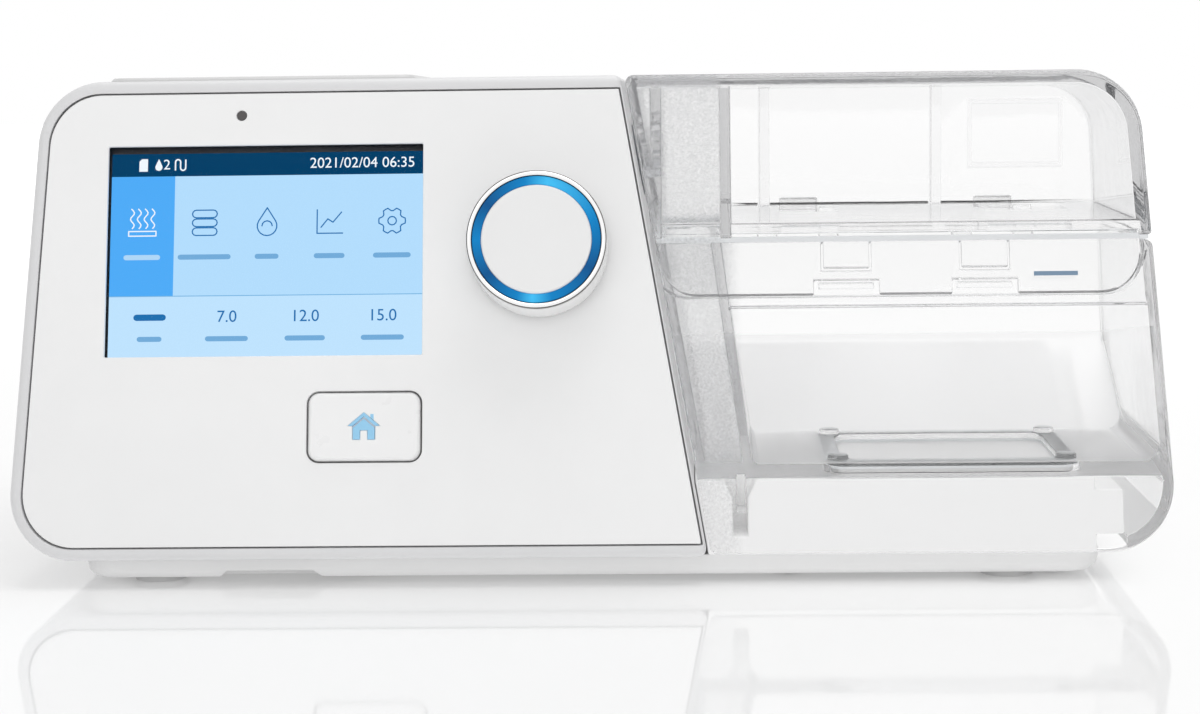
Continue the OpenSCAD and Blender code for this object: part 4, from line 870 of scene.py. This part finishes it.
def home_house():
    roof = [(-3.6, 0.14), (0, 3.17), (3.6, 0.14), (2.6, 0.14), (0, 2.33), (-2.6, 0.14)]
    walls = [(-2.45, -0.36), (0, 1.7), (2.45, -0.36), (2.45, -3.02), (0.9, -3.02), (0.9, -0.9), (-0.9, -0.9),
             (-0.9, -3.02), (-2.45, -3.02)]
    chimney = [(1.5, 2.05), (1.5, 2.8), (2.25, 2.8), (2.25, 1.42)]
    bm = bmesh.new()
    add_plate(bm, in_mm(roof), INLAY, low=-INLAY)
    add_plate(bm, in_mm(walls), INLAY, low=-INLAY)
    add_plate(bm, in_mm(chimney), LAYER)
    node = "home_inlay"
    piece = face_piece(bm, "home_house", looks["inlay"], HOME_X, HOME_S, KEY_PROUD, body_of_node(node))
    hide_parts(node)


def fill_mark():
    """The mark on the lid's flap that shows how high the water may stand."""
    half_w = 5.0 * MM
    half_h = 0.5 * MM
    bm = bmesh.new()
    add_plate(bm, box_outline(-half_w, -half_h, half_w, half_h), 0.08 * MM)
    face_piece(bm, "fill_mark", looks["mark"], MARK_X, MARK_S, 0.0, "lid")


home_house()
fill_mark()


# Floor, light and camera

FLOOR_SIZE = 6.0
FLOOR_WHITE = (0.82, 0.82, 0.82, 1.0)
FLOOR_GLOW = 0.08
FLOOR_GLOW_FAR = 0.4
FADE_FROM = 0.25
FADE_TO = 1.5
FLOOR_GLOW_BOUNCE = 0.34
FLOOR_GLOW_BEHIND = 0.06
AMBIENT = 0.62
WORLD_BEHIND = 0.92


def make_floor():
    """A pale, faintly mirroring floor that fades to the white of the backdrop."""
    bm = bmesh.new()
    half = FLOOR_SIZE / 2
    corners = [bm.verts.new((x, y, 0)) for x, y in box_outline(-half, -half, half, half)]
    bm.faces.new(corners)
    look = Look("floor_white")
    look.set(Base_Color=FLOOR_WHITE, Specular_IOR_Level=0.5, Emission_Color=WHITE)
    look.vary("Roughness", 0.04, 0.07, look.noise(60 * MM))
    path = look.add("ShaderNodeLightPath").outputs
    away = look.add("ShaderNodeVectorMath", operation="LENGTH")
    look.join(look.place(), away.inputs[0])
    distance = away.outputs["Value"]
    far = look.spread(distance, 0.0, FLOOR_GLOW_FAR, start=FADE_FROM, end=FADE_TO, shape="SMOOTHSTEP")
    fade = look.math("MULTIPLY", path["Is Camera Ray"], far)
    seen = look.math("MAXIMUM", path["Is Camera Ray"], path["Is Glossy Ray"])
    plain = look.math("MULTIPLY_ADD", seen, FLOOR_GLOW, fade)
    bounce = look.math("MULTIPLY_ADD", path["Is Diffuse Ray"], FLOOR_GLOW_BOUNCE, plain)
    glow = look.math("MULTIPLY_ADD", path["Is Transmission Ray"], FLOOR_GLOW_BEHIND, bounce)
    look.join(glow, look.shader.inputs["Emission Strength"])
    finish_mesh(bm, "floor", look)


def make_world():
    """White to the camera, in mirrors and through clear plastic, and softer as a light."""
    world = bpy.data.worlds.new("studio")
    bpy.context.scene.world = world
    world.use_nodes = True
    tree = world.node_tree
    shader = tree.nodes["Background"]
    path = tree.nodes.new("ShaderNodeLightPath").outputs
    seen = tree.nodes.new("ShaderNodeMath")
    seen.operation = "MAXIMUM"
    behind = tree.nodes.new("ShaderNodeMath")
    behind.operation = "MULTIPLY"
    behind.inputs[1].default_value = WORLD_BEHIND
    either = tree.nodes.new("ShaderNodeMath")
    either.operation = "MAXIMUM"
    level = tree.nodes.new("ShaderNodeMapRange")
    level.inputs["To Min"].default_value = AMBIENT
    tree.links.new(path["Is Camera Ray"], seen.inputs[0])
    tree.links.new(path["Is Glossy Ray"], seen.inputs[1])
    tree.links.new(path["Is Transmission Ray"], behind.inputs[0])
    tree.links.new(seen.outputs[0], either.inputs[0])
    tree.links.new(behind.outputs[0], either.inputs[1])
    tree.links.new(either.outputs[0], level.inputs["Value"])
    tree.links.new(level.outputs["Result"], shader.inputs["Strength"])
    shader.inputs["Color"].default_value = WHITE


def area_light(name, place, aim, size, power, mirrored=True):
    """A soft lamp that the camera doesn't see, and that shows in mirrors only where mirrored."""
    light = bpy.data.lights.new(name, "AREA")
    light.shape = "RECTANGLE"
    light.size, light.size_y = size
    light.energy = power
    lamp = bpy.data.objects.new(name, light)
    bpy.context.scene.collection.objects.link(lamp)
    lamp.location = place
    lamp.rotation_euler = (Vector(aim) - Vector(place)).to_track_quat("-Z", "Y").to_euler()
    lamp.visible_camera = False
    lamp.visible_transmission = False
    lamp.visible_glossy = mirrored


IMAGE_W = 1200
FOCAL_PX = 2600
SENSOR = 36.0
CAMERA_PLACE = Vector((23.94, -649.72, 125.73)) * MM
CAMERA_PITCH = math.radians(7.225)
CAMERA_YAW = math.radians(-2.032)
CAMERA_ROLL = math.radians(-0.793)


def make_camera():
    """A pinhole camera where the photograph was taken from."""
    level = Vector((math.sin(CAMERA_YAW), math.cos(CAMERA_YAW), 0))
    ahead = level * math.cos(CAMERA_PITCH) - Vector((0, 0, math.sin(CAMERA_PITCH)))
    right = Vector((math.cos(CAMERA_YAW), -math.sin(CAMERA_YAW), 0))
    up = right.cross(ahead)
    rolled_right = right * math.cos(CAMERA_ROLL) + up * math.sin(CAMERA_ROLL)
    rolled_up = up * math.cos(CAMERA_ROLL) - right * math.sin(CAMERA_ROLL)
    turn = Matrix((rolled_right, rolled_up, -ahead)).transposed().to_4x4()
    camera = bpy.data.cameras.new("camera")
    camera.sensor_width = SENSOR
    camera.sensor_fit = "HORIZONTAL"
    camera.lens = SENSOR * FOCAL_PX / IMAGE_W
    camera.clip_start = 0.01
    holder = bpy.data.objects.new("camera", camera)
    holder.matrix_world = Matrix.Translation(CAMERA_PLACE) @ turn
    bpy.context.scene.collection.objects.link(holder)
    bpy.context.scene.camera = holder


TABLE_MIDDLE = (0, 0, 0.05)
CLEAR_BOUNCES = 48
PASSING_BOUNCES = 32
make_floor()
make_world()
area_light("key", (-0.5, -0.8, 1.0), TABLE_MIDDLE, (0.9, 0.9), 1.0)
area_light("front", (0.1, -1.4, 0.28), TABLE_MIDDLE, (1.8, 0.5), 2.2, mirrored=False)
area_light("top", (0.2, 0.1, 1.3), (0, 0, 0), (1.4, 1.0), 8.5)
make_camera()
scene = bpy.context.scene
scene.view_settings.view_transform = "Standard"
scene.cycles.transparent_max_bounces = PASSING_BOUNCES
scene.cycles.transmission_bounces = CLEAR_BOUNCES
scene.cycles.glossy_bounces = CLEAR_BOUNCES
scene.cycles.max_bounces = CLEAR_BOUNCES
